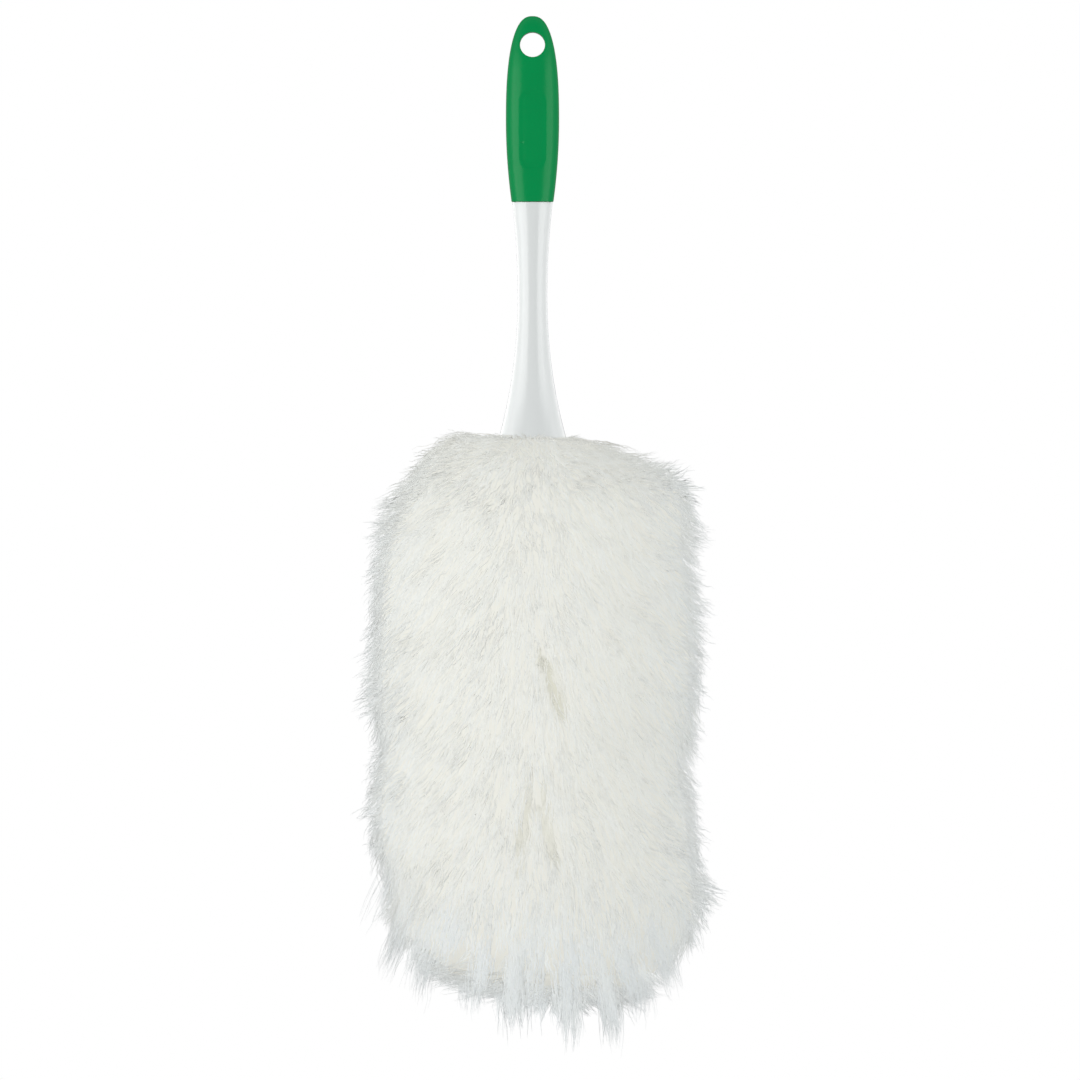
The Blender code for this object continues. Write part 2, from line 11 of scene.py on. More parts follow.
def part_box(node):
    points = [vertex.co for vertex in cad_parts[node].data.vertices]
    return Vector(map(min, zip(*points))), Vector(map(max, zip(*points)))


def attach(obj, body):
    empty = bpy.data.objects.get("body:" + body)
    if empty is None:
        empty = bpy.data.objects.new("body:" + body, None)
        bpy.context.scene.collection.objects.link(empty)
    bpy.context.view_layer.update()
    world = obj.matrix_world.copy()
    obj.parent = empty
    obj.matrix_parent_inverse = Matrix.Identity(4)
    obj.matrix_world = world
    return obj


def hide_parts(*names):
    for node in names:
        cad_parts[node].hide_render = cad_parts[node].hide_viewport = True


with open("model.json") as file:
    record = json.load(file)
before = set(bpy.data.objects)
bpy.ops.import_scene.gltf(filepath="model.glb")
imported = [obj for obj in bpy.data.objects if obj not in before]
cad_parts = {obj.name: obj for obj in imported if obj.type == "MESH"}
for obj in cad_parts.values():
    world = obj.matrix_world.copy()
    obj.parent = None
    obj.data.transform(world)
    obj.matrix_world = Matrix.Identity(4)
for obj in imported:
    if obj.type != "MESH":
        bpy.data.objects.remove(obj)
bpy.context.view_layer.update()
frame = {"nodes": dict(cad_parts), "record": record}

bl_info = {
    "name": "Lambswool Duster",
    "version": (1, 0, 0),
    "blender": (4, 5, 0),
    "location": "View3D > Sidebar > Duster",
    "description": "Dresses the frame of a duster with a rubber grip, a plastic handle and combed lambswool",
    "category": "Object",
}

GRIP_LOW, GRIP_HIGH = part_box("grip_sleeve")
HANDLE_LOW, HANDLE_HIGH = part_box("handle_body")
CORE_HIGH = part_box("core_dowel")[1]
WOOL_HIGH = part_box("wool_pile")[1]
TUFT_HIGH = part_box("tip_tuft")[1]
SCREW_LOW, SCREW_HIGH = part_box("core_screw")

# Shape of the grip and the handle, in metres, as the frame has it. The hanging hole's middle is the origin.
# A cutter reaches past what it cuts by the overlap.
GAP = 0.0003
HOLE_RADIUS = 0.0075
BELLY_Z = -0.045
MOUTH_HALF_WIDTH = 0.0126
MOUTH_HALF_DEPTH = 0.0108
WIDTH_ROUNDING = 2.5
DEPTH_ROUNDING = 2.0
GRIP_SQUARENESS = 2.3
GRIP_WALL = 0.0026
TANG_DOME = 0.008
NECK_STEP = 0.0005
WAIST_DROP = 0.0555
WAIST_RADIUS = 0.00885
FLARE_POWER = 2.1
SKIRT_WALL = 0.0024
CORE_HOLE_RADIUS = 0.00505
CORE_HOLE_TOP = -0.022
HOLLOW_TOP = -0.2016
FIN_THICKNESS = 0.0016
FIN_SETBACK = 0.003
CUTTER_OVERLAP = 0.004
NECK_TOP = GRIP_LOW.z - GAP
WAIST_Z = NECK_TOP - WAIST_DROP
RIM_Z = HANDLE_LOW.z
RIM_RADIUS = HANDLE_HIGH.x

# Thumb rest on the front of the grip, and the mark of the mould's gate on it. The front that they are pressed
# into is what lies further forward than this share of half the grip's depth.
REST_Z = -0.051
REST_HALF_LENGTH = 0.0250
REST_HALF_WIDTH = 0.0085
REST_DEPTH = 0.0006
REST_SLOPE = 0.0030
GATE_PLACE = (-0.0063, -0.0588)
GATE_RADIUS = 0.0011
GATE_DEPTH = 0.0005
FRONT_SHARE = 0.45

# Shape of the wool. The head's wool ends at the hem, where the fringe's begins. The rows, the sides and the
# depth of the partings are those of the dense wool. The swells have their full depth from a radius out, and
# the loose wool from a share of the outline down. The bottom of the head leans aside, from a share of its
# height down and over a blend, and the hem's inside by a share of that.
WOOL_TOP = WOOL_HIGH.z
WOOL_BOTTOM = -0.5750
WOOL_HALF_WIDTH = 0.1015
WOOL_HALF_DEPTH = 0.0945
WOOL_SQUARENESS = 3.3
COLLAR_RADIUS = RIM_RADIUS + GAP
WOOL_BORE = 0.0106
WOOL_ROWS = 150
WOOL_SIDES = 180
PARTING_DEPTH = 0.003
HEM_RADIUS = 0.064
HEM_WALL = 0.006
HEM_LEAN = 0.3
SWELL_RADIUS = 0.04
LOOSE_SHARE = 0.08
TIP_LEAN = 0.016
LEAN_START = 0.9
LEAN_BLEND = 0.12

# Places where the wool swells or draws in: side (0 is right, 180 left), share of the wool's height
# from its top, reach along the height, and how far it moves
SWELLS = (
    (0, 0.08, 0.08, 0.013),
    (180, 0.05, 0.10, -0.002),
    (180, 0.50, 0.25, -0.004),
    (180, 0.545, 0.03, -0.004),
    (180, 0.80, 0.05, -0.006),
    (0, 0.58, 0.08, -0.007),
    (0, 0.86, 0.10, 0.012),
    (180, 0.94, 0.08, -0.006),
)

# The shoulders: their distance from the middle, how wide they are, and their rise on the left and on the
# right
SHOULDER_RADIUS = 0.055
SHOULDER_REACH = 0.018
SHOULDER_RISES = (0.0075, -0.0040)

# Partings on the front, from (x, z) to (x, z), half their width, and how far they open
PARTINGS = (
    ((0.0065, -0.370), (0.0180, -0.401), 0.0020, 1.0),
    ((-0.0035, -0.451), (-0.0080, -0.496), 0.0014, 0.7),
    ((0.0030, -0.456), (0.0145, -0.488), 0.0012, 0.6),
)

# Tufts that stand out on the sides: side as above, height, and how far they stand out
TUFTS = (
    (180, -0.284, 0.007),
    (180, -0.393, 0.005),
    (0, -0.294, 0.009),
    (0, -0.342, 0.004),
    (0, -0.418, 0.004),
    (0, -0.512, 0.011),
    (180, -0.522, 0.004),
)

# The middle of the picture, the floor's radius, the lamps' distance from the middle, and the share of it by
# which they stand lower
PICTURE_MIDDLE = (0.0045, 0, -0.297)
FLOOR_RADIUS = 0.95
LAMP_DISTANCE = 1.7
LAMP_DROP = 0.15

# The fringe: the bundles that its locks draw toward, from left to right as (x, z) of their tips, and its
# rings of locks, as (locks, share of the head's radius)
FRINGE_MIDDLE = 0.004
FRINGE_BUNDLES = (
    (-0.100, -0.534),
    (-0.088, -0.558),
    (-0.067, -0.575),
    (-0.053, -0.565),
    (-0.034, -0.586),
    (-0.012, -0.596),
    (0.001, -0.590),
    (0.023, -0.602),
    (0.036, -0.580),
    (0.049, -0.604),
    (0.063, -0.589),
    (0.084, -0.573),
    (0.096, -0.549),
    (0.106, -0.534),
)
FRINGE_RINGS = ((56, 1.0), (52, 0.88), (46, 0.70), (34, 0.48), (16, 0.22))


def hex_colour(code):
    """An sRGB hex value as the linear colour that Blender's shaders take."""
    parts = [int(code[i : i + 2], 16) / 255 for i in (1, 3, 5)]
    return tuple(p / 12.92 if p <= 0.04045 else ((p + 0.055) / 1.055) ** 2.4 for p in parts)


def per_metre(millimetres):
    """The Scale of a texture whose features are this far apart."""
    return 1000 / millimetres


def colour_choice(name, description, code):
    return FloatVectorProperty(name=name, description=description, subtype="COLOR", default=hex_colour(code))


def length_choice(name, description, default, **limits):
    return FloatProperty(name=name, description=description, default=default, unit="LENGTH", **limits)


class HandleSettings(bpy.types.PropertyGroup):
    """Colours of the grip and the handle, and how finely they are made."""

    rubber: colour_choice("Rubber", "Colour of the grip", "#018C4A")
    plastic: colour_choice("Plastic", "Colour of the handle", "#E0E1DF")
    grain: length_choice(
        "Grain",
        "Fineness of the grip's surface, whose edges are rounded over twice this",
        0.00048,
        min=0.0003,
    )


class WoolSettings(bpy.types.PropertyGroup):
    """How the wool lies, and how much of it there is."""

    tip_colour: colour_choice("Tips", "Colour of the wool at the tips of its fibres", "#F1F5F7")
    root_colour: colour_choice("Roots", "Colour of the wool near the skin", "#F5F2E8")
    # The grease colour is darker than the roots: partly grease, partly painted shade in the partings.
    grease_and_shade_colour: colour_choice("Grease", "Colour of the wool in a parting, where grease stays", "#E3E0D0")
    locks: IntProperty(name="Locks", description="Locks of wool on the head", default=4000, min=100)
    strands: IntProperty(name="Strands", description="Strands of wool in each lock", default=8, min=1)
    fringe_strands: IntProperty(
        name="Fringe strands", description="Strands of wool in each lock of the fringe", default=20, min=1
    )
    thickness: length_choice("Thickness", "Thickness of a strand, which is a wisp of many fibres", 0.0007)
    curl_size: length_choice("Curl size", "Distance from one bend of a strand to the next", 0.008)
    curl_depth: length_choice("Curl depth", "How far a strand bends aside at its tip", 0.003)
    bed: length_choice("Bed", "Depth of the loose outer wool over the dense wool", 0.005)
    reach: length_choice("Reach", "How far a strand lies along the head", 0.027)
    nap: length_choice("Nap", "How deep the flattest wool lies under the head's outline", 0.0025)
    tuft_size: length_choice("Tuft size", "Distance from one standing tuft to the next", 0.020)
    tuft_rise: length_choice("Tuft rise", "How far the tufts stand out of the flattest wool", 0.008)
    seed: IntProperty(name="Seed", description="Changes where the locks lie", default=7)


class StageSettings(bpy.types.PropertyGroup):
    """The floor, the lamps and the camera."""

    floor: length_choice("Floor", "Height of the floor", -0.95)
    distance: length_choice("Camera distance", "From the camera to the duster", 7.0)
    view_width: length_choice("View width", "Width that the camera sees at the duster", 0.648)
    key: FloatProperty(name="Key light", description="Brightness of the lamp on the left", default=0.7)
    fill: FloatProperty(name="Fill light", description="Brightness of the lamp on the right", default=0.05)
    panels: FloatProperty(
        name="Panels", description="Brightness of the panels, which only what shines shows", default=2.7
    )
    sky: FloatProperty(name="Sky", description="Strength of the even light from all round", default=0.935)


def add_node(tree, kind, sockets=None, **settings):
    """Adds a node, with its settings, and sockets filled with values or linked to other nodes' outputs."""
    node = tree.nodes.new(kind)
    for name, value in settings.items():
        setattr(node, name, value)
    for key, value in (sockets or {}).items():
        if isinstance(value, bpy.types.NodeSocket):
            tree.links.new(value, node.inputs[key])
        else:
            node.inputs[key].default_value = value
    return node


def new_material(name, **values):
    """A material with a Principled shader, and that shader's node, with these values on its own sockets."""
    made = bpy.data.materials.new(name)
    made.use_nodes = True
    shader = made.node_tree.nodes["Principled BSDF"]
    for key, value in values.items():
        shader.inputs[key.replace("_", " ")].default_value = value
    return made, made.node_tree, shader


def solid(colour):
    return (*colour, 1.0)


def stretched_noise(tree, spacing, detail=3.0):
    """Noise on the piece's own coordinates, with features this many millimetres apart along X, Y and Z."""
    place = add_node(tree, "ShaderNodeTexCoord").outputs["Object"]
    place = vector_math(tree, "MULTIPLY", place, tuple(per_metre(step) for step in spacing))
    sockets = {"Vector": place, "Scale": 1.0, "Detail": detail}
    return add_node(tree, "ShaderNodeTexNoise", sockets).outputs["Fac"]


def colour_between(tree, factor, first, second):
    """A colour this share of the way from the first to the second, each of them a colour or an output."""
    mix = add_node(tree, "ShaderNodeMix", {0: factor}, data_type="RGBA")
    for key, colour in ((6, first), (7, second)):
        if isinstance(colour, bpy.types.NodeSocket):
            tree.links.new(colour, mix.inputs[key])
        else:
            mix.inputs[key].default_value = solid(colour)
    return mix.outputs[2]


def value_between(tree, factor, low, high, start=0.0, end=1.0, way="LINEAR"):
    """A value that goes from low to high while the factor goes from start to end."""
    sockets = {"Value": factor, "From Min": start, "From Max": end, "To Min": low, "To Max": high}
    return add_node(tree, "ShaderNodeMapRange", sockets, interpolation_type=way).outputs["Result"]


def scalar_math(tree, operation, *values, **settings):
    """What a Math node makes of these values or outputs."""
    sockets = dict(enumerate(values))
    return add_node(tree, "ShaderNodeMath", sockets, operation=operation, **settings).outputs[0]


def vector_math(tree, operation, *values):
    """What a Vector Math node makes of these vectors or outputs."""
    node = add_node(tree, "ShaderNodeVectorMath", dict(enumerate(values)), operation=operation)
    return node.outputs["Value" if operation in ("DOT_PRODUCT", "LENGTH") else "Vector"]


def scaled(tree, vector, share):
    """The vector with its length multiplied by this share."""
    sockets = {0: vector, "Scale": share}
    return add_node(tree, "ShaderNodeVectorMath", sockets, operation="SCALE").outputs[0]


def bump(tree, height, depth, strength=1.0):
    sockets = {"Height": height, "Distance": depth, "Strength": strength}
    return add_node(tree, "ShaderNodeBump", sockets).outputs["Normal"]


def shaded(colour, share):
    """The colour with its light multiplied by this share."""
    return tuple(part * share for part in colour)


def finished(made, shader, **outputs):
    """The material, with these outputs linked to its shader's sockets."""
    for key, output in outputs.items():
        made.node_tree.links.new(output, shader.inputs[key.replace("_", " ")])
    return made


def moulded_rubber(settings):
    """Thermoplastic rubber from a spark-eroded mould: satin, with a fine even grain and faint flow marks
    round it. The real grain is about 0.1 mm and too fine to show, so it is drawn at 0.7 mm."""
    made, tree, shader = new_material("Moulded thermoplastic rubber", IOR=1.5, Specular_IOR_Level=0.11)
    cloud = stretched_noise(tree, (22, 22, 30))
    flow = stretched_noise(tree, (30, 30, 1.6), 2.0)
    grain = stretched_noise(tree, (0.7, 0.7, 0.7), 1.0)
    colour = colour_between(tree, cloud, shaded(settings.rubber, 0.93), shaded(settings.rubber, 1.07))
    gloss = value_between(tree, flow, 0.18, 0.26)
    normal = bump(tree, grain, 0.00003, 0.5)
    return finished(made, shader, Base_Color=colour, Roughness=gloss, Normal=normal)


def moulded_plastic(settings):
    """Polypropylene from a polished mould: glossy, white right through, and slightly wavy where it shrank."""
    made, tree, shader = new_material("Moulded polypropylene", IOR=1.49)
    sink = stretched_noise(tree, (14, 14, 60), 1.0)
    haze = stretched_noise(tree, (8, 8, 8))
    colour = colour_between(tree, haze, shaded(settings.plastic, 0.985), settings.plastic)
    gloss = value_between(tree, haze, 0.17, 0.24)
    normal = bump(tree, sink, 0.0001, 0.4)
    return finished(made, shader, Base_Color=colour, Roughness=gloss, Normal=normal)


def turned_beech():
    """Beech, turned and sanded: pale, with grain along the rod and short darker flecks."""
    made, tree, shader = new_material("Turned beech", Roughness=0.6)
    grain = stretched_noise(tree, (1.1, 1.1, 45))
    fleck = stretched_noise(tree, (0.5, 0.5, 2.5), 1.0)
    ground = colour_between(tree, grain, hex_colour("#C99B66"), hex_colour("#DDB988"))
    dark = value_between(tree, fleck, 0.0, 1.0, 0.62, 0.72)
    colour = colour_between(tree, dark, ground, hex_colour("#A9784A"))
    return finished(made, shader, Base_Color=colour, Normal=bump(tree, grain, 0.00006))


def tanned_skin():
    """Tanned sheepskin, flesh side out: matt, cream, with a soft nap and fine creases."""
    values = {"Roughness": 0.88, "Sheen_Weight": 0.25, "Sheen_Roughness": 0.5}
    made, tree, shader = new_material("Tanned sheepskin", **values)
    patch = stretched_noise(tree, (9, 9, 9))
    crease = stretched_noise(tree, (1.2, 1.2, 1.2), 5.0)
    colour = colour_between(tree, patch, hex_colour("#D8C7A3"), hex_colour("#EADFC6"))
    return finished(made, shader, Base_Color=colour, Normal=bump(tree, crease, 0.0002))


def zinc_steel():
    """Bright zinc plated steel: a pale metal with a slightly cloudy shine."""
    made, tree, shader = new_material("Zinc plated steel", Metallic=1.0)
    cloud = stretched_noise(tree, (1.5, 1.5, 1.5))
    colour = colour_between(tree, cloud, hex_colour("#B4B6B8"), hex_colour("#CDD0D3"))
    return finished(made, shader, Base_Color=colour, Roughness=value_between(tree, cloud, 0.22, 0.38))


def combed_wool(settings):
    """Washed and combed lambswool strands: white and matt, creamier toward the skin, and cooler on the sides
    and where they hang free, which is a painted cool shade. Beside a parting they are yellower and darker,
    partly grease and partly painted shade. The strands' map runs from root to tip upwards, and from one
    lock's shade to another's sideways."""
    made, tree, shader = new_material("Combed lambswool", Roughness=0.95, Specular_IOR_Level=0.2)
    place = add_node(tree, "ShaderNodeTexCoord").outputs["UV"]
    sides = add_node(tree, "ShaderNodeSeparateXYZ", {0: place}).outputs
    lock = scalar_math(tree, "MULTIPLY_ADD", sides["X"], 2.0, -0.7)
    tone = scalar_math(tree, "MULTIPLY_ADD", sides["Y"], 0.4, lock, use_clamp=True)
    clean = colour_between(tree, tone, settings.root_colour, settings.tip_colour)
    # Beside a parting the strands turn to the grease colour: partly grease, partly painted shade of the
    # parting.
    greasy_shade_share = scalar_math(tree, "MULTIPLY_ADD", sides["X"], -4.0, 1.2, use_clamp=True)
    colour = colour_between(tree, greasy_shade_share, clean, settings.grease_and_shade_colour)
    return finished(made, shader, Base_Color=colour)


def dense_wool(settings):
    """The dense wool under the loose strands: the same fibres, matted, with streaks that run down the head,
    and yellower and darker where a parting bares it, partly grease and partly painted shade."""
    made, tree, shader = new_material("Dense lambswool", Roughness=1.0, Specular_IOR_Level=0.2)
    streak = stretched_noise(tree, (1.5, 1.5, 14), 4.0)
    ground = colour_between(tree, streak, shaded(settings.root_colour, 0.97), settings.root_colour)
    # Where a parting bares the dense wool, it takes the grease colour: partly grease, partly painted shade.
    parting_shade = add_node(tree, "ShaderNodeAttribute", attribute_name="parting").outputs["Fac"]
    colour = colour_between(tree, parting_shade, ground, settings.grease_and_shade_colour)
    return finished(made, shader, Base_Color=colour, Normal=bump(tree, streak, 0.0004))


def placed(name, data):
    """A new object in the scene, with this mesh, lamp or lens."""
    made = bpy.data.objects.new(name, data)
    bpy.context.scene.collection.objects.link(made)
    return made


def settled_mesh(made, *helpers):
    """A plain mesh of the object as its modifiers leave it. The object and its helpers are then removed."""
    graph = bpy.context.evaluated_depsgraph_get()
    graph.update()
    mesh = bpy.data.meshes.new_from_object(made.evaluated_get(graph), depsgraph=graph)
    for used in (made, *helpers):
        bpy.data.objects.remove(used)
    return mesh


def add_piece(name, mesh, material, slot, *nodes):
    """A finished piece that rides on the duster and stands for these nodes of the frame."""
    piece = placed(name, mesh)
    mesh.materials.clear()
    mesh.materials.append(material)
    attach(piece, "root")
    if nodes:
        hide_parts(*nodes)
    return piece


def grip_halves(z):
    """Half the grip's width and depth at height z: a rounded end above the belly, a soft taper below it."""
    halves = []
    mouths = (MOUTH_HALF_WIDTH, MOUTH_HALF_DEPTH)
    for belly, mouth, rounding in zip(GRIP_HIGH, mouths, (WIDTH_ROUNDING, DEPTH_ROUNDING)):
        if z > BELLY_Z:
            rise = min(1.0, (z - BELLY_Z) / (GRIP_HIGH.z - BELLY_Z))
            halves.append(belly * (1 - rise**rounding) ** (1 / rounding))
        else:
            fall = (BELLY_Z - z) / (BELLY_Z - GRIP_LOW.z)
            halves.append(belly + (mouth - belly) * fall**2)
    return halves


def neck_halves(z):
    """Half the neck's width and depth at height z: an oval top, a round waist and a flare to the rim."""
    if z > WAIST_Z:
        rise = (z - WAIST_Z) / (NECK_TOP - WAIST_Z)
        tops = (MOUTH_HALF_WIDTH - NECK_STEP, MOUTH_HALF_DEPTH - NECK_STEP)
        return [WAIST_RADIUS + (top - WAIST_RADIUS) * rise**2 for top in tops]
    fall = (WAIST_Z - z) / (WAIST_Z - RIM_Z)
    return [WAIST_RADIUS + (RIM_RADIUS - WAIST_RADIUS) * fall**FLARE_POWER] * 2


def oval(z, halves, squareness, sides):
    points = []
    for i in range(sides):
        c = math.cos(2 * math.pi * i / sides)
        s = math.sin(2 * math.pi * i / sides)
        x = math.copysign(halves[0] * abs(c) ** (2 / squareness), c)
        y = math.copysign(halves[1] * abs(s) ** (2 / squareness), s)
        points.append((x, y, z))
    return points


def lofted(name, rings, endless=False):
    """A closed skin over rings of points. A ring of one point is a pole; an endless loft meets its start."""
    bm = bmesh.new()
    loops = [[bm.verts.new(point) for point in ring] for ring in rings]
    pairs = list(zip(loops, loops[1:]))
    if endless:
        pairs.append((loops[-1], loops[0]))
    for low, high in pairs:
        count = max(len(low), len(high))
        for i in range(count):
            j = (i + 1) % count
            corners = [low[i % len(low)], low[j % len(low)], high[j % len(high)], high[i % len(high)]]
            # At a pole two of the four corners are one.
            bm.faces.new(dict.fromkeys(corners))
    if not endless:
        for loop in (loops[0], loops[-1]):
            if len(loop) > 2:
                bm.faces.new(loop)
    bmesh.ops.recalc_face_normals(bm, faces=bm.faces)
    mesh = bpy.data.meshes.new(name)
    bm.to_mesh(mesh)
    bm.free()
    return mesh


def turns(sides):
    return [2 * math.pi * i / sides for i in range(sides)]


def circle(radius, z, angles, lean=0.0):
    return [(radius * math.cos(t) + lean, radius * math.sin(t), z) for t in angles]


def rod(name, radius, top, bottom):
    return lofted(name, [circle(radius, z, turns(64)) for z in (bottom, top)])


def tang_rings(grow, low, sides):
    """The tang inside the grip, grown by a clearance where it is a cutter."""
    shoulder = HANDLE_HIGH.z - TANG_DOME
    heights = [low + (shoulder - low) * i / 12 for i in range(12)]
    heights += [shoulder + TANG_DOME * math.sin(math.pi / 2 * i / 8) for i in range(8)]
    rings = []
    for z in heights:
        closing = math.sqrt(1 - max(0.0, (z - shoulder) / TANG_DOME) ** 2)
        inner = [half - GRIP_WALL - GAP for half in grip_halves(max(z, GRIP_LOW.z))]
        lift = grow if z > shoulder else 0
        rings.append(oval(z + lift, [half * closing + grow for half in inner], GRIP_SQUARENESS, sides))
    return [*rings, [(0, 0, HANDLE_HIGH.z + grow)]]


def cut_away(mesh, cutters):
    """The mesh with the cutters' meshes taken away from it."""
    body = placed(mesh.name, mesh)
    helpers = [placed("cutter", cutter) for cutter in cutters]
    for helper in helpers:
        modifier = body.modifiers.new("Cut", "BOOLEAN")
        modifier.operation = "DIFFERENCE"
        modifier.object = helper
    return settled_mesh(body, *helpers)


def coordinates(mesh):
    flat = np.empty(len(mesh.vertices) * 3)
    mesh.vertices.foreach_get("co", flat)
    return flat.reshape(-1, 3)


def smooth_step(share):
    share = np.clip(share, 0, 1)
    return share**2 * (3 - 2 * share)


def bell(value, middle, reach):
    """1 at the middle, and almost nothing at twice the reach from it."""
    return np.exp(-(((value - middle) / reach) ** 2))


def press_front(mesh):
    """Sinks the thumb rest into the front of the grip, with the small pit that the mould's gate left."""
    points = coordinates(mesh)
    x, y, z = points.T
    beyond = np.maximum(0, np.abs(z - REST_Z) - REST_HALF_LENGTH + REST_HALF_WIDTH)
    sink = REST_DEPTH * smooth_step((REST_HALF_WIDTH - np.hypot(x, beyond)) / REST_SLOPE)
    gate = np.hypot(x - GATE_PLACE[0], z - GATE_PLACE[1])
    sink += GATE_DEPTH * smooth_step((GATE_RADIUS - gate) / GATE_RADIUS)
    front = y < -GRIP_HIGH.y * FRONT_SHARE
    points[:, 1] = np.where(front, y + sink, y)
    mesh.vertices.foreach_set("co", points.ravel())
    mesh.update()


class DUSTER_OT_make_grip(bpy.types.Operator):
    """Makes the rubber grip with its hanging hole"""

    bl_idname = "duster.make_grip"
    bl_label = "Make Grip"

    def execute(self, context):
        settings = context.scene.duster_handle
        sides = 96
        heights = [GRIP_LOW.z + (BELLY_Z - GRIP_LOW.z) * i / 30 for i in range(30)]
        rise = GRIP_HIGH.z - BELLY_Z
        heights += [BELLY_Z + rise * math.sin(math.pi / 2 * i / 40) for i in range(40)]
        rings = [oval(z, grip_halves(z), GRIP_SQUARENESS, sides) for z in heights]
        sleeve = lofted("grip", [*rings, [(0, 0, GRIP_HIGH.z)]])
        space = lofted("tang space", tang_rings(GAP, GRIP_LOW.z - CUTTER_OVERLAP, sides))
        hole = rod("hole", HOLE_RADIUS, 0.03, -0.03)
        hole.transform(turned_to_front())
        body = placed("grip", cut_away(sleeve, [space, hole]))
        remesh = body.modifiers.new("Even surface", "REMESH")
        remesh.mode = "VOXEL"
        remesh.voxel_size = settings.grain
        soften = body.modifiers.new("Soft edges", "SMOOTH")
        soften.factor = 0.5
        soften.iterations = 6
        mesh = settled_mesh(body)
        press_front(mesh)
        mesh.shade_smooth()
        add_piece("grip", mesh, moulded_rubber(settings), "green_rubber", "grip_sleeve")
        return {"FINISHED"}


def turned_to_front():
    """Turns what stands along Z so that it lies along Y."""
    return Vector((0, 0, 1)).rotation_difference(Vector((0, 1, 0))).to_matrix().to_4x4()


class DUSTER_OT_make_handle(bpy.types.Operator):
    """Makes the plastic handle: the tang, the neck with its flare, and the ribbed hollow inside the flare"""

    bl_idname = "duster.make_handle"
    bl_label = "Make Handle"

    def execute(self, context):
        settings = context.scene.duster_handle
        sides = 96
        count = 110
        heights = [RIM_Z + (NECK_TOP - RIM_Z) * i / count for i in range(count + 1)]
        rings = [oval(z, neck_halves(z), 2, sides) for z in heights]
        body = lofted("handle", rings + tang_rings(0, NECK_TOP, sides))
        hollow = [[(0, 0, HOLLOW_TOP)]]
        for i in range(17):
            z = HOLLOW_TOP + (RIM_Z - HOLLOW_TOP) * i / 16
            hollow.append(oval(z, [neck_halves(z)[0] - SKIRT_WALL] * 2, 2, sides))
        hollow.append(oval(RIM_Z - CUTTER_OVERLAP, [neck_halves(RIM_Z)[0] - SKIRT_WALL] * 2, 2, sides))
        fins = []
        for turn in range(3):
            fin = block((FIN_THICKNESS, 4 * RIM_RADIUS, HOLLOW_TOP - RIM_Z), RIM_Z + FIN_SETBACK)
            fin.transform(Matrix.Rotation(math.pi * turn / 3, 4, "Z"))
            fins.append(fin)
        space = cut_away(lofted("hollow", hollow), fins)
        core_top = CORE_HIGH.z + GAP
        socket = rod("socket", CORE_HIGH.x + GAP, core_top, RIM_Z - CUTTER_OVERLAP)
        core_hole = rod("core hole", CORE_HOLE_RADIUS, CORE_HOLE_TOP, core_top - CUTTER_OVERLAP)
        screw_z = (SCREW_LOW.z + SCREW_HIGH.z) / 2
        head = SCREW_HIGH.x + GAP
        shank = head / 2.4
        profile = [(0, CUTTER_OVERLAP), (head, CUTTER_OVERLAP), (head, -0.0006)]
        profile += [(shank, -0.0023), (shank, -0.0132), (0, -0.0132)]
        rings = [circle(radius, z, turns(32 if radius else 1)) for radius, z in profile]
        screw = lofted("screw space", rings)
        screw.transform(turned_to_front())
        screw.transform(Matrix.Translation((0, SCREW_HIGH.y, screw_z)))
        mesh = cut_away(body, [space, socket, core_hole, screw])
        mesh.shade_smooth()
        mesh.set_sharp_from_angle(angle=math.radians(35))
        add_piece("handle", mesh, moulded_plastic(settings), "white_plastic", "handle_body")
        return {"FINISHED"}


def block(size, bottom):
    """A box that stands on this height, centred on the Z axis."""
    x, y = size[0] / 2, size[1] / 2
    corners = [(x, y), (-x, y), (-x, -y), (x, -y)]
    return lofted("block", [[(*corner, z) for corner in corners] for z in (bottom, bottom + size[2])])


class DUSTER_OT_finish_core(bpy.types.Operator):
    """Gives the wooden core, the sheepskin and the fixings their finishes"""

    bl_idname = "duster.finish_core"
    bl_label = "Finish Core"

    def execute(self, context):
        finishes = {"beech": turned_beech(), "sheepskin": tanned_skin(), "steel": zinc_steel()}
        for part in frame["record"]["subparts"]:
            if part["material_slot"] in finishes:
                node = frame["nodes"][part["node"]]
                for slot in node.material_slots:
                    slot.material = finishes[part["material_slot"]]
        return {"FINISHED"}


def wool_table():
    """The wool's outline from the handle's rim down to the middle of its underside: the share of its length,
    the radius and the height of each point on it."""
    middle = (WOOL_TOP + WOOL_BOTTOM) / 2
    half = (WOOL_TOP - WOOL_BOTTOM) / 2
    angle = np.linspace(0, math.pi, 801)
    radius = WOOL_HALF_WIDTH * np.sin(angle) ** (2 / WOOL_SQUARENESS)
    rise = np.sign(np.cos(angle)) * np.abs(np.cos(angle)) ** (2 / WOOL_SQUARENESS)
    radius[-1] = 0
    start = neck_halves(WOOL_TOP)[0] + GAP
    keep = (radius > start) | (rise < 0)
    radius = np.concatenate([[start], radius[keep]])
    height = np.concatenate([[WOOL_TOP], (middle + half * rise)[keep]])
    length = np.concatenate([[0], np.cumsum(np.hypot(np.diff(radius), np.diff(height)))])
    return length / length[-1], radius, height


OUTLINE = wool_table()
DEPTH_SHARE = (WOOL_HALF_DEPTH - COLLAR_RADIUS) / (WOOL_HALF_WIDTH - COLLAR_RADIUS)


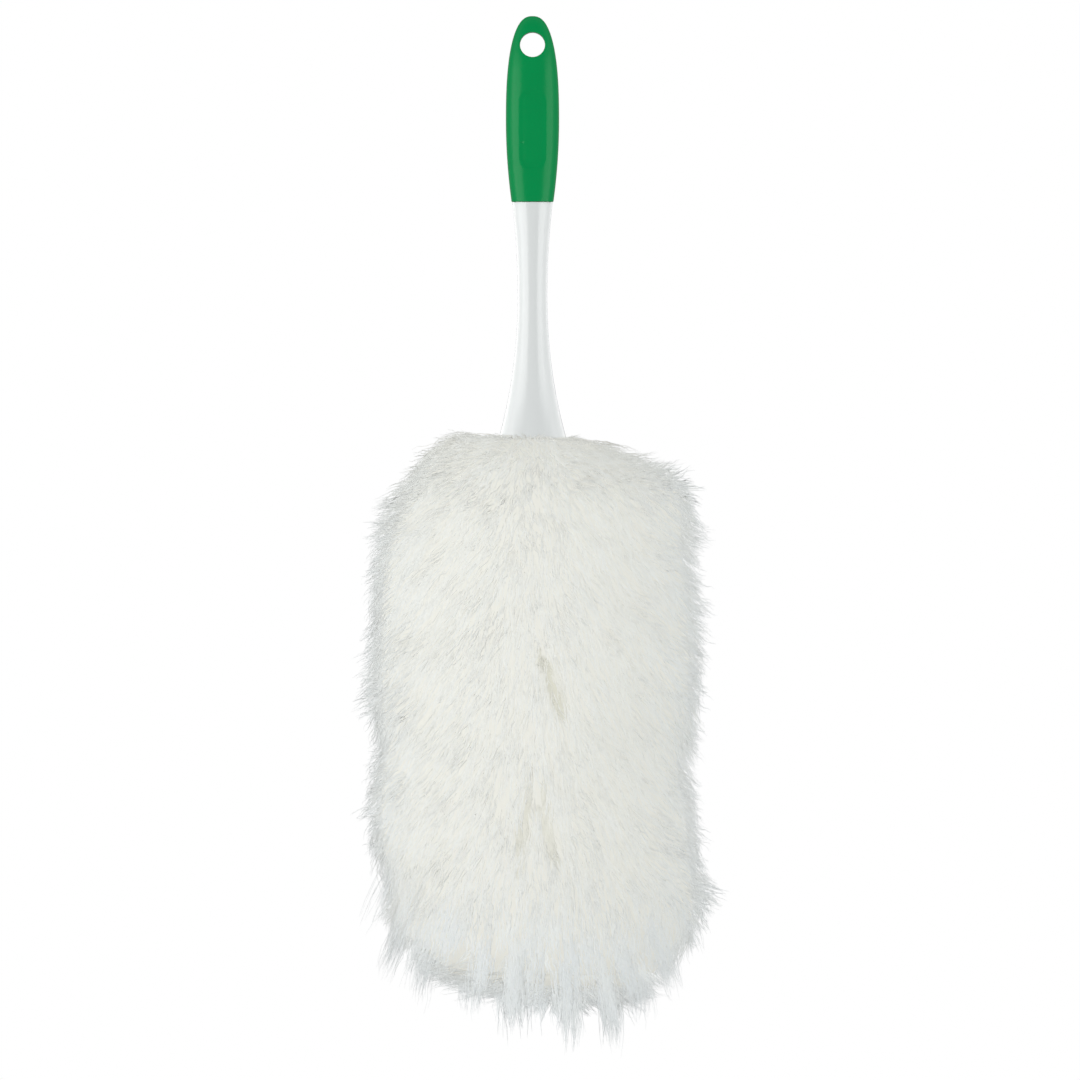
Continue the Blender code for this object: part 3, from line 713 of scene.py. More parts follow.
def wool_skin(angle, share):
    """Points on the outside of the wool, at these angles round it and shares of its outline from the top."""
    radius = np.interp(share, OUTLINE[0], OUTLINE[1])
    height = np.interp(share, OUTLINE[0], OUTLINE[2])
    depth = np.minimum(radius, COLLAR_RADIUS) + np.maximum(0, radius - COLLAR_RADIUS) * DEPTH_SHARE
    fall = (WOOL_TOP - height) / (WOOL_TOP - WOOL_BOTTOM)
    out = 0.0
    for side, place, reach, amount in SWELLS:
        facing = np.maximum(0, np.cos(angle - math.radians(side)))
        out = out + amount * facing**2 * bell(fall, place, reach)
    out = out * np.minimum(1, radius / SWELL_RADIUS)
    left = 0.5 - 0.5 * np.cos(angle)
    rise = SHOULDER_RISES[0] * left + SHOULDER_RISES[1] * (1 - left)
    height = height + rise * bell(radius, SHOULDER_RADIUS, SHOULDER_REACH) * (fall < 0.5)
    lean = TIP_LEAN * smooth_step((fall - LEAN_START) / LEAN_BLEND)
    return np.stack([(radius + out) * np.cos(angle) + lean, (depth + out) * np.sin(angle), height], axis=-1)


def dot(first, second):
    return np.sum(first * second, axis=-1, keepdims=True)


def unit(vectors):
    return vectors / np.maximum(np.linalg.norm(vectors, axis=-1, keepdims=True), 1e-9)


def wool_slopes(angle, share):
    """How the wool's outside moves with the angle and with the share of its outline, and its normal."""
    step = 0.004
    near = np.clip(share, 0.01, 0.985)
    down = (wool_skin(angle, near + step) - wool_skin(angle, near - step)) / (2 * step)
    across = (wool_skin(angle + step, near) - wool_skin(angle - step, near)) / (2 * step)
    return across, down, unit(np.cross(down, across))


def lock_places(settings):
    """Angles and shares of the outline at which locks lie, evenly spread over the head."""
    share, radius, _ = OUTLINE
    area = np.concatenate([[0], np.cumsum((radius[1:] + radius[:-1]) * np.diff(share))])
    index = np.arange(settings.locks)
    places = np.interp((index + 0.5) / settings.locks * area[-1], area, share)
    golden_turn = (math.sqrt(5) - 1) / 2
    return 2 * math.pi * ((index * golden_turn) % 1), places


# A lock's line has this many points. Its longest strand is this share of the line. A strand's thickness at
# its tip and at its root is a share of the full one, which it has from this share of its length. Its section
# is a triangle with this radius, squashed by the flatness.
STRAND_POINTS = 8
LONGEST = 1.08
TIP_THICKNESS = 0.12
ROOT_THICKNESS = 0.15
ROOT_REACH = 0.15
SECTION_RADIUS = 1.155
FLATNESS = 0.4

# The strands' map has the name that the export looks for. Each strand has a band of this width on it, and the
# locks' shades spread the bands over this share of it.
STRAND_MAP = "OFBake"
BAND_WIDTH = 0.006
BAND_REACH = 0.99

# How the locks lie: how much they spread out to the sides and stir together, the height from which they turn
# to hang down and over how much height, and how steeply the head faces down where they spread from its
# middle, over how much of a blend and how far their tips stand out there
SIDE_SPREAD = 0.9
STIR = 0.30
HANG_Z = -0.49
HANG_HEIGHT = 0.08
UNDERSIDE = 0.55
UNDERSIDE_BLEND = 0.25
UNDERSIDE_RISE = 0.010
DOWN = np.array([0.0, 0.0, -1.0])

# How deep the locks' roots lie in the dense wool, how far their tips usually lie over the flattest wool and
# the scatter of that, and the least and the most that half their width comes to, with what a parting takes
# from it
ROOT_DEPTH = 0.002
TIP_RISE = 0.0006
TIP_SCATTER = 0.0008
LEAST_SPREAD = 0.0008
MOST_SPREAD = 0.0055
PARTED_SPREAD = 0.0045

# The tufts: half the height of one on the sides, the radius from which they rise, and how much further out
# they rise fully
TUFT_HALF_HEIGHT = 0.009
TUFT_START = 0.035
TUFT_BLEND = 0.02

# The locks' tones between 0 and 1: the usual one and its scatter; how much cooler they are on the sides and
# where they hang free, a painted cool shade; how much yellower and darker they are in a parting, partly
# grease and partly painted shade; and the fringe's tone, cooler as painted shade
TONE = 0.36
TONE_SCATTER = 0.015
TONE_COOL_SHADE = 0.16
TONE_PARTING_SHADE = 0.25
FRINGE_COOL_SHADE_TONE = 0.54

# The height above which the locks are shaded as if they drooped, and over how much height
DROOP_Z = -0.30
DROOP_HEIGHT = 0.03

# The fringe's half width and depth, its locks' lengths and half their width, and how much their tips scatter
FRINGE_HALF_WIDTH = 0.099
FRINGE_HALF_DEPTH = 0.086
FRINGE_LENGTHS = (0.036, 0.060)
FRINGE_SPREAD = 0.0075
FRINGE_SCATTER = 0.010


def lock_lines(root, elbow, tip):
    """Curved lines from root to tip that leave the root toward the elbow."""
    u = np.linspace(0, 1, STRAND_POINTS)[None, :, None]
    return (1 - u) ** 2 * root[:, None] + 2 * u * (1 - u) * elbow[:, None] + u**2 * tip[:, None]


def part_wool(points, depth):
    """Moves points on the front aside and inward, out of the partings, and says how near each is to one."""
    deepest = np.zeros(points.shape[:-1])
    for (x0, z0), (x1, z1), half, opening in PARTINGS:
        line = np.array([x1 - x0, z1 - z0])
        rel = points[..., [0, 2]] - np.array([x0, z0])
        along = np.clip(rel @ line / (line @ line), 0, 1)
        away = rel - along[..., None] * line
        distance = np.linalg.norm(away, axis=-1)
        near = opening * smooth_step(1.5 - distance / (1.5 * half)) * (points[..., 1] < 0)
        points[..., 0] += np.sign(away[..., 0]) * np.maximum(0, half - distance) * near
        points[..., 1] += depth * near
        deepest = np.maximum(deepest, near)
    return deepest


def stirred(points, size, seed):
    """Smooth random vectors at these points, which change over this size. Without a seed they would take one
    from the clock."""
    noise.seed_set(seed)
    return np.array([noise.noise_vector(Vector(point / size)) for point in points])


def near_share(share):
    """How much of its full depth the loose wool has: none at the handle's rim."""
    return np.minimum(1, share / LOOSE_SHARE)[..., None]


def combed_way(surface, down, out):
    """The way that the combed wool lies at points of the head: down it and out to the sides, then hanging,
    and spread from the middle on its underside. Also how much it hangs and how far underneath it is."""
    sideways = np.zeros_like(surface)
    sideways[:, 0] = surface[:, 0] / WOOL_HALF_WIDTH
    sideways -= out * dot(out, sideways)
    flow = unit(unit(down) + SIDE_SPREAD * sideways)
    low = smooth_step((HANG_Z - surface[:, 2:]) / HANG_HEIGHT)
    flow = unit(flow * (1 - low) + DOWN * low)
    under = smooth_step((-out[:, 2:] - UNDERSIDE) / UNDERSIDE_BLEND)
    spread = unit((surface - np.array([TIP_LEAN, 0.0, 0.0])) * np.array([1.0, 1.0, 0.0]))
    return unit(flow * (1 - under) + spread * under), low, under


def body_locks(settings):
    """The locks all over the head: their angles, lines from root to tip, facings, widths and tones."""
    pick = np.random.default_rng(settings.seed)
    angle, share = lock_places(settings)
    count = len(angle)
    angle = angle + pick.uniform(-0.02, 0.02, count)
    surface = wool_skin(angle, share)
    across, down, out = wool_slopes(angle, share)
    surface -= out * settings.nap * near_share(share)
    stir = stirred(surface, settings.tuft_size, settings.seed)
    flow, low, under = combed_way(surface, down, out)
    flow = unit(flow + STIR * stir + pick.normal(0, 0.08, (count, 3)))
    rise = np.clip(0.45 + 1.3 * stir[:, :1] + pick.normal(0, 0.12, (count, 1)), 0, 1)
    stand = smooth_step((np.abs(surface[:, :1]) / WOOL_HALF_WIDTH - 0.6) / 0.4)
    reach = settings.reach * pick.uniform(0.75, 1.25, (count, 1)) * (1 - 0.4 * rise) * (1 - 0.45 * stand)
    turn = -reach * dot(flow, across) / np.maximum(dot(across, across), 0.02**2)
    climb = -reach * dot(flow, down) / dot(down, down)
    root_angle, root_share = angle + turn[:, 0], np.maximum(0, share + climb[:, 0])
    root_out = wool_slopes(root_angle, root_share)[2]
    root_depth = (settings.bed + settings.nap) * near_share(root_share) + ROOT_DEPTH
    root = wool_skin(root_angle, root_share) - root_out * root_depth
    middle = wool_skin(angle + turn[:, 0] / 2, np.maximum(0, share + climb[:, 0] / 2))
    radius = np.hypot(root[:, 0], root[:, 1])
    proud = settings.tuft_rise * rise * pick.uniform(0.4, 1.2, (count, 1))
    for side, height, extra in TUFTS:
        facing = np.maximum(0, np.cos(angle - math.radians(side))) ** 10
        proud[:, 0] += extra * facing * bell(surface[:, 2], height, TUFT_HALF_HEIGHT)
    proud = proud * np.clip((radius[:, None] - TUFT_START) / TUFT_BLEND, 0, 1)
    proud = proud + pick.normal(TIP_RISE, TIP_SCATTER, (count, 1))
    proud += UNDERSIDE_RISE * under * pick.random((count, 1))
    elbow = middle - out * (settings.nap + settings.bed * 0.1) * near_share(share)
    lines = lock_lines(root, elbow, surface + out * proud)
    parted = part_wool(lines, settings.bed * 0.8)[:, -3:].max(axis=1)
    most = MOST_SPREAD - PARTED_SPREAD * parted
    width = np.clip((radius - COLLAR_RADIUS) * 0.6 + LEAST_SPREAD, LEAST_SPREAD, most)
    # Painted cool shade: the locks on the sides and those that hang free take a cooler tone.
    painted_cool_shade = np.maximum(stand, low)[:, 0]
    # A parting makes the tone yellower and darker: partly grease, partly painted shade.
    tone = TONE + TONE_COOL_SHADE * painted_cool_shade + pick.normal(0, TONE_SCATTER, count) - TONE_PARTING_SHADE * parted
    facing = unit(out - flow * dot(out, flow))
    high = smooth_step((surface[:, 2:] - DROOP_Z) / DROOP_HEIGHT)
    droop = DOWN * (0.5 * high + 0.3 * low)
    facing = unit(facing + droop + pick.normal(0, 0.04, (count, 3)))
    return angle, (lines, facing, width, np.clip(tone, 0, 1))


def fringe_locks(settings):
    """The longer locks that hang from the bottom of the head, in rings round its edge and its middle."""
    pick = np.random.default_rng(settings.seed + 1)
    turn, out = [], []
    for count, away in FRINGE_RINGS:
        turn += [2 * math.pi * (i + 0.5 * (len(turn) % 2)) / count for i in range(count)]
        out += [away] * count
    count = len(turn)
    turn = np.array(turn) + pick.normal(0, 0.06, count)
    away = np.array(out) + pick.normal(0, 0.03, count)
    outward = np.stack([np.cos(turn), np.sin(turn), np.zeros(count)], axis=1)
    x = FRINGE_MIDDLE + FRINGE_HALF_WIDTH * away * outward[:, 0]
    y = FRINGE_HALF_DEPTH * away * outward[:, 1]
    bundles = np.array(FRINGE_BUNDLES)
    nearest = bundles[np.abs(x[:, None] - bundles[:, 0]).argmin(axis=1)]
    lowest = nearest[:, 1] + np.abs(x - nearest[:, 0])
    x += 0.4 * (nearest[:, 0] - x)
    z = lowest + 3.0 * y**2 + FRINGE_SCATTER * pick.random(count) ** 2
    tip = np.stack([x, y, z], axis=1)
    length = pick.uniform(*FRINGE_LENGTHS, (count, 1))
    root = tip + (np.array([0, 0, 1.0]) - outward * 0.5 * away[:, None] ** 2) * length
    elbow = root + (outward * 0.6 * away[:, None] + DOWN) * length * 0.45
    facing = unit(outward + np.array([0, 0, -0.3]) + pick.normal(0, 0.08, (count, 3)))
    # The fringe's cooler tone is painted cool shade.
    tone = np.clip(FRINGE_COOL_SHADE_TONE + pick.normal(0, TONE_SCATTER, count), 0, 1)
    return lock_lines(root, elbow, tip), facing, np.full(count, FRINGE_SPREAD), tone


def lines_mesh(lines, facing, width, tone):
    """A mesh of bare edges along the locks' lines, whose points know their lock's root, facing, width and
    tone."""
    count = len(lines)
    mesh = bpy.data.meshes.new("lines")
    mesh.vertices.add(count * STRAND_POINTS)
    mesh.vertices.foreach_set("co", lines.reshape(-1))
    mesh.edges.add(count * (STRAND_POINTS - 1))
    first = np.arange(count * STRAND_POINTS).reshape(count, STRAND_POINTS)
    mesh.edges.foreach_set("vertices", np.stack([first[:, :-1], first[:, 1:]], axis=-1).reshape(-1))
    for label, values in (("lock_root", lines[:, 0]), ("lock_facing", facing)):
        spread = np.repeat(values, STRAND_POINTS, axis=0).reshape(-1)
        mesh.attributes.new(label, "FLOAT_VECTOR", "POINT").data.foreach_set("vector", spread)
    for label, values in (("lock_width", width), ("lock_tone", tone)):
        spread = np.repeat(values, STRAND_POINTS)
        mesh.attributes.new(label, "FLOAT", "POINT").data.foreach_set("value", spread)
    return mesh


def named(tree, label, kind="FLOAT"):
    node = add_node(tree, "GeometryNodeInputNamedAttribute", {"Name": label}, data_type=kind)
    return node.outputs["Attribute"]


def stored(tree, geometry, label, value, kind="FLOAT", domain="POINT"):
    sockets = {"Geometry": geometry, "Name": label}
    node = add_node(tree, "GeometryNodeStoreNamedAttribute", sockets, data_type=kind, domain=domain)
    tree.links.new(value, node.inputs["Value"])
    return node.outputs[0]


def loose_strands(tree, given):
    """Each lock's line once for each of its strands, with the way that strand stands apart and its length."""
    curves = add_node(tree, "GeometryNodeMeshToCurve", {"Mesh": given["Geometry"]}).outputs[0]
    sockets = {"Geometry": curves, "Amount": given["Strands"]}
    strands = add_node(tree, "GeometryNodeDuplicateElements", sockets, domain="SPLINE").outputs["Geometry"]
    number = add_node(tree, "GeometryNodeInputIndex").outputs[0]
    chance = {"ID": number, "Seed": given["Seed"]}
    apart = add_node(tree, "FunctionNodeRandomValue", chance, data_type="FLOAT_VECTOR")
    apart.inputs[0].default_value = (-1, -1, -1)
    lengths = {**chance, 2: given["Shortest"], 3: LONGEST}
    share = add_node(tree, "FunctionNodeRandomValue", lengths, data_type="FLOAT")
    kept = add_node(tree, "GeometryNodeCaptureAttribute", domain="CURVE")
    kept.capture_items.new("VECTOR", "Apart")
    kept.capture_items.new("FLOAT", "Length")
    for key, output in ((0, strands), ("Apart", apart.outputs[0]), ("Length", share.outputs[1])):
        tree.links.new(output, kept.inputs[key])
    return kept.outputs


def strand_lines(tree, given, kept, along):
    """The strands' own lines: they start apart, draw together toward the lock's tip, and curl."""
    place = add_node(tree, "GeometryNodeInputPosition").outputs[0]
    root = named(tree, "lock_root", "FLOAT_VECTOR")
    gather = value_between(tree, along, 1.0, given["Gather"])
    spread = scalar_math(tree, "MULTIPLY", named(tree, "lock_width"), gather)
    aside = scaled(tree, kept["Apart"], spread)
    reach = vector_math(tree, "SUBTRACT", place, root)
    cut = scaled(tree, vector_math(tree, "ADD", reach, aside), kept["Length"])
    straight = vector_math(tree, "ADD", root, cut)
    grid = scaled(tree, straight, scalar_math(tree, "DIVIDE", 1.0, given["Curl Size"]))
    own_place = vector_math(tree, "MULTIPLY_ADD", kept["Apart"], (0.5, 0.5, 0.5), grid)
    sockets = {"Vector": own_place, "Scale": 1.0, "Detail": 1.5}
    bend = add_node(tree, "ShaderNodeTexNoise", sockets, normalize=False).outputs["Color"]
    amount = scalar_math(tree, "MULTIPLY", along, given["Curl Depth"])
    final = vector_math(tree, "ADD", straight, scaled(tree, bend, amount))
    curled = add_node(tree, "GeometryNodeSetPosition", {"Geometry": kept[0], "Position": final}).outputs[0]
    return stored(tree, curled, "along", along)


def strand_tubes(tree, lines, facing, along, thickness):
    """Closed three-sided tubes along these lines, flat side to the facing, and finer at both ends."""
    tangent = add_node(tree, "GeometryNodeInputTangent").outputs[0]
    lengthwise = vector_math(tree, "PROJECT", facing, tangent)
    outward = vector_math(tree, "NORMALIZE", vector_math(tree, "SUBTRACT", facing, lengthwise))
    sockets = {"Curve": lines, "Normal": outward}
    flat_out = add_node(tree, "GeometryNodeSetCurveNormal", sockets, mode="FREE").outputs[0]
    fine_tip = value_between(tree, scalar_math(tree, "POWER", along, 3.0), 1.0, TIP_THICKNESS)
    fine_root = value_between(tree, along, ROOT_THICKNESS, 1.0, 0.0, ROOT_REACH)
    taper = scalar_math(tree, "MULTIPLY", fine_tip, fine_root)
    size = scalar_math(tree, "MULTIPLY", taper, scalar_math(tree, "MULTIPLY", thickness, 0.5))
    sockets = {"Resolution": 3, "Radius": SECTION_RADIUS}
    ring = add_node(tree, "GeometryNodeCurvePrimitiveCircle", sockets).outputs[0]
    sockets = {"Geometry": ring, "Rotation": (0, 0, math.pi), "Scale": (FLATNESS, 1, 1)}
    squashed = add_node(tree, "GeometryNodeTransform", sockets).outputs[0]
    section = stored(tree, squashed, "around", along)
    sockets = {"Curve": flat_out, "Profile Curve": section, "Scale": size, "Fill Caps": True}
    return add_node(tree, "GeometryNodeCurveToMesh", sockets).outputs[0]


def strand_map(tree, tubes):
    """The tubes with a map on which a lock's shade runs sideways, and root to tip upwards."""
    side = scalar_math(tree, "MULTIPLY", named(tree, "around"), BAND_WIDTH)
    shade = scalar_math(tree, "MULTIPLY_ADD", named(tree, "lock_tone"), BAND_REACH, side)
    flat = add_node(tree, "ShaderNodeCombineXYZ", {"X": shade, "Y": named(tree, "along")}).outputs[0]
    return stored(tree, tubes, STRAND_MAP, flat, "FLOAT2", "CORNER")


def softly_shaded(tree, tubes, facing, softness):
    """The tubes with their outer faces shaded as the head they lie on, as a mass of fibres is."""
    own = add_node(tree, "GeometryNodeInputNormal").outputs["True Normal"]
    toward = vector_math(tree, "DOT_PRODUCT", own, facing)
    share = value_between(tree, toward, 0.0, softness, 0.0, 0.5)
    soft = add_node(tree, "ShaderNodeMix", {0: share, 4: own, 5: facing}, data_type="VECTOR").outputs[1]
    sockets = {"Mesh": tubes, "Custom Normal": vector_math(tree, "NORMALIZE", soft)}
    return add_node(tree, "GeometryNodeSetMeshNormal", sockets, mode="FREE").outputs[0]


def wool_tree(material):
    """Makes the strands of wool round each lock's line."""
    tree = bpy.data.node_groups.new("Locks of wool", "GeometryNodeTree")
    tree.is_modifier = True
    tree.interface.new_socket("Geometry", in_out="INPUT", socket_type="NodeSocketGeometry")
    tree.interface.new_socket("Geometry", in_out="OUTPUT", socket_type="NodeSocketGeometry")
    for label in ("Strands", "Seed"):
        tree.interface.new_socket(label, in_out="INPUT", socket_type="NodeSocketInt")
    for label in ("Thickness", "Curl Size", "Curl Depth", "Gather", "Shortest", "Softness"):
        tree.interface.new_socket(label, in_out="INPUT", socket_type="NodeSocketFloat")
    given = add_node(tree, "NodeGroupInput").outputs
    kept = loose_strands(tree, given)
    along = add_node(tree, "GeometryNodeSplineParameter").outputs["Factor"]
    lines = strand_lines(tree, given, kept, along)
    facing = named(tree, "lock_facing", "FLOAT_VECTOR")
    own_facing = vector_math(tree, "MULTIPLY_ADD", kept["Apart"], (0.2, 0.2, 0.2), facing)
    tubes = strand_map(tree, strand_tubes(tree, lines, own_facing, along, given["Thickness"]))
    clean = softly_shaded(tree, tubes, facing, given["Softness"])
    for label, mode in (("lock_*", "WILDCARD"), ("along", "EXACT"), ("around", "EXACT")):
        sockets = {"Geometry": clean, "Name": label}
        clean = add_node(tree, "GeometryNodeRemoveAttribute", sockets, pattern_mode=mode).outputs[0]
    real = add_node(tree, "GeometryNodeRealizeInstances", {"Geometry": clean}).outputs[0]
    done = add_node(tree, "GeometryNodeSetMaterial", {"Geometry": real, "Material": material}).outputs[0]
    add_node(tree, "NodeGroupOutput", {"Geometry": done})
    return tree


def set_inputs(modifier, **values):
    """Sets a Geometry Nodes modifier's inputs, which go by their sockets' identifiers."""
    for item in modifier.node_group.interface.items_tree:
        if item.in_out == "INPUT" and item.name.replace(" ", "_") in values:
            modifier[item.identifier] = values[item.name.replace(" ", "_")]


def grow_strands(name, locks, tree, settings, **more):
    """Turns locks into one plain mesh of strands, with these values for the modifier's other inputs."""
    guide = placed(name, lines_mesh(*locks))
    modifier = guide.modifiers.new("Strands", "NODES")
    modifier.node_group = tree
    set_inputs(
        modifier,
        Seed=settings.seed,
        Thickness=settings.thickness,
        Curl_Size=settings.curl_size,
        Curl_Depth=settings.curl_depth,
        **more,
    )
    mesh = settled_mesh(guide)
    mesh.name = name
    mesh.shade_smooth()
    return mesh


def dense_rings(settings, angle, places):
    """Rings of points on the outside of the dense wool, at these angles and these shares of the outline."""
    rings = []
    for place in places:
        level = np.full(len(angle), place)
        depth = (settings.bed + settings.nap) * near_share(place)
        rings.append(wool_skin(angle, level) - wool_slopes(angle, level)[2] * depth)
    return rings


def let_light_by(piece):
    """Keeps the wool from shading itself. Real fibres are far finer and pass most of the light on."""
    piece.visible_diffuse = False
    piece.visible_shadow = False


class DUSTER_OT_make_dense_wool(bpy.types.Operator):
    """Makes the dense wool under the loose strands"""

    bl_idname = "duster.make_dense_wool"
    bl_label = "Make Dense Wool"

    def execute(self, context):
        settings = context.scene.duster_wool
        material = dense_wool(settings)
        angle = np.linspace(0, 2 * math.pi, WOOL_SIDES, endpoint=False)
        share, radius, height = OUTLINE
        hem = float(share[(radius < HEM_RADIUS) & (height < -0.5)][0])
        places = np.linspace(0.02, 1, WOOL_ROWS)
        rows = dense_rings(settings, angle, places)
        body_rows = [row for row, place in zip(rows, places) if place < hem]
        tuft_rows = [row for row, place in zip(rows, places) if place > hem + 0.004]
        hem_z = float(body_rows[-1][:, 2].mean())
        inner = HEM_RADIUS - HEM_WALL
        rings = [
            circle(WOOL_BORE, TUFT_HIGH.z, angle),
            circle(WOOL_BORE, RIM_Z - GAP, angle),
            circle(COLLAR_RADIUS, RIM_Z - GAP, angle),
            circle(COLLAR_RADIUS, RIM_Z, angle),
            circle(neck_halves(WOOL_TOP - 0.001)[0] + GAP, WOOL_TOP - 0.001, angle),
            *[row.tolist() for row in body_rows],
            circle(inner, hem_z, angle, TIP_LEAN * HEM_LEAN),
        ]
        mesh = lofted("wool_dense", rings, endless=True)
        points = coordinates(mesh)
        # How near each point is to a parting; there it takes the grease colour, partly grease and partly
        # painted shade.
        parting_shade = part_wool(points, PARTING_DEPTH)
        mesh.attributes.new("parting", "FLOAT", "POINT").data.foreach_set("value", parting_shade)
        mesh.vertices.foreach_set("co", points.ravel())
        mesh.shade_smooth()
        let_light_by(add_piece("wool_dense", mesh, material, "wool", "wool_pile"))
        rings = [
            circle(WOOL_BORE - 2 * GAP, TUFT_HIGH.z, angle),
            circle(inner - 3 * GAP, hem_z, angle, TIP_LEAN * HEM_LEAN),
            *[(row * [0.985, 0.985, 1]).tolist() for row in tuft_rows[:-1]],
            [tuple(tuft_rows[-1].mean(axis=0))],
        ]
        mesh = lofted("tuft_dense", rings)
        mesh.shade_smooth()
        let_light_by(add_piece("tuft_dense", mesh, material, "wool", "tip_tuft"))
        return {"FINISHED"}


class DUSTER_OT_grow_wool(bpy.types.Operator):
    """Grows the loose strands of wool, in eight sectors round the head and a fringe at its bottom"""

    bl_idname = "duster.grow_wool"
    bl_label = "Grow Wool"

    def execute(self, context):
        settings = context.scene.duster_wool
        material = combed_wool(settings)
        tree = wool_tree(material)
        angle, locks = body_locks(settings)
        sector = np.floor(angle % (2 * math.pi) / (math.pi / 4)).astype(int) % 8
        for number in range(8):
            name = f"wool_locks_{number + 1}"
            own = [values[sector == number] for values in locks]
            inputs = {"Strands": settings.strands, "Gather": 0.5, "Shortest": 0.7, "Softness": 0.95}
            mesh = grow_strands(name, own, tree, settings, **inputs)
            let_light_by(add_piece(name, mesh, material, "wool", "wool_pile"))
        name = "wool_fringe"
        inputs = {"Strands": settings.fringe_strands, "Gather": 0.65, "Shortest": 0.6, "Softness": 0.9}
        mesh = grow_strands(name, fringe_locks(settings), tree, settings, **inputs)
        let_light_by(add_piece(name, mesh, material, "wool", "tip_tuft"))
        return {"FINISHED"}


def add_lamp(name, side, brightness, size, shines, only):
    """A lamp on this side of the duster, in degrees from the camera's. If it shines, nothing but what is
    glossy shows it, and if it has a piece of its own, it lights that one only."""
    lamp = bpy.data.lights.new(name, "AREA")
    lamp.shape = "RECTANGLE"
    lamp.size, lamp.size_y = size
    lamp.energy = brightness * math.pi * lamp.size * lamp.size_y
    holder = placed(name, lamp)
    holder.visible_camera = False
    holder.visible_glossy = shines
    holder.visible_diffuse = not shines
    if only:
        lit = bpy.data.collections.new(name)
        lit.objects.link(bpy.data.objects[only])
        holder.light_linking.receiver_collection = lit
    angle = math.radians(side)
    middle = Vector(PICTURE_MIDDLE)
    holder.location = middle + LAMP_DISTANCE * Vector((math.sin(angle), -math.cos(angle), -LAMP_DROP))
    holder.rotation_euler = (middle - holder.location).to_track_quat("-Z", "Y").to_euler()


def add_camera(distance, view_width):
    """A camera straight in front of the duster, where it sees this width."""
    lens = bpy.data.cameras.new("camera")
    lens.lens = lens.sensor_width * distance / view_width
    camera = placed("camera", lens)
    camera.location = Vector(PICTURE_MIDDLE) + Vector((0, -distance, 0))
    camera.rotation_euler = (math.pi / 2, 0, 0)
    bpy.context.scene.camera = camera


class DUSTER_OT_set_stage(bpy.types.Operator):
    """Sets the floor, the lamps and the camera"""

    bl_idname = "duster.set_stage"
    bl_label = "Set Stage"

    def execute(self, context):
        settings = context.scene.duster_stage
        heights = (settings.floor - 0.01, settings.floor)
        mesh = lofted("floor", [circle(FLOOR_RADIUS, z, turns(96)) for z in heights])
        mesh.materials.append(white_floor())
        floor = placed("floor", mesh)
        for lamp in (
            ("key", -45, settings.key, (1.1, 2.2), False, None),
            ("fill", 45, settings.fill, (1.1, 2.2), False, None),
            ("left panel", -56, settings.panels * 1.3, (1.6, 2.2), True, None),
            ("right panel", 57, settings.panels * 1.15, (1.35, 2.2), True, None),
            ("left rim panel", -118, settings.panels * 0.85, (3.0, 3.4), True, "handle"),
            ("right rim panel", 118, settings.panels * 0.6, (3.0, 3.4), True, "handle"),
        ):
            add_lamp(*lamp)
        context.scene.world = white_sky(settings.sky)
        add_camera(settings.distance, settings.view_width)
        context.scene.view_settings.view_transform = "Standard"
        return {"FINISHED"}


def seen_share(tree):
    """1 for rays that show the background: the camera's, and those mirrored or let through by the duster."""
    path = add_node(tree, "ShaderNodeLightPath").outputs
    mirrored = scalar_math(tree, "MAXIMUM", path["Is Camera Ray"], path["Is Glossy Ray"])
    return scalar_math(tree, "MAXIMUM", mirrored, path["Is Transmission Ray"])


def white_sky(strength):
    """White where it is seen, and an even light of this strength everywhere else, a little dimmer overhead.
    What shines shows it as a studio: white at the sides, dark behind the camera, dim behind the duster."""
    sky = bpy.data.worlds.new("White sky")
    sky.use_nodes = True
    tree = sky.node_tree
    background = tree.nodes["Background"]
    path = add_node(tree, "ShaderNodeLightPath").outputs
    tint = colour_between(tree, path["Is Diffuse Ray"], (1, 1, 1), (0.955, 0.985, 1))
    tree.links.new(tint, background.inputs["Color"])
    way = add_node(tree, "ShaderNodeTexCoord").outputs["Generated"]
    front = vector_math(tree, "DOT_PRODUCT", way, (0, -1, 0))
    camera_side = value_between(tree, front, 1.0, 0.05, 0.1, 0.75, "SMOOTHSTEP")
    far_side = value_between(tree, front, 1.0, 0.3, 0.1, -0.3, "SMOOTHSTEP")
    mirrored = scalar_math(tree, "MULTIPLY", camera_side, far_side)
    up = add_node(tree, "ShaderNodeSeparateXYZ", {0: way}).outputs["Z"]
    above = value_between(tree, up, strength, strength * 0.8, 0.2)
    level = add_node(tree, "ShaderNodeMix", {0: path["Is Glossy Ray"], 2: above, 3: mirrored}).outputs[0]
    seen = scalar_math(tree, "MAXIMUM", path["Is Camera Ray"], path["Is Transmission Ray"])
    whole = add_node(tree, "ShaderNodeMix", {0: seen, 2: level, 3: 1.0}).outputs[0]
    tree.links.new(whole, background.inputs["Strength"])
    return sky


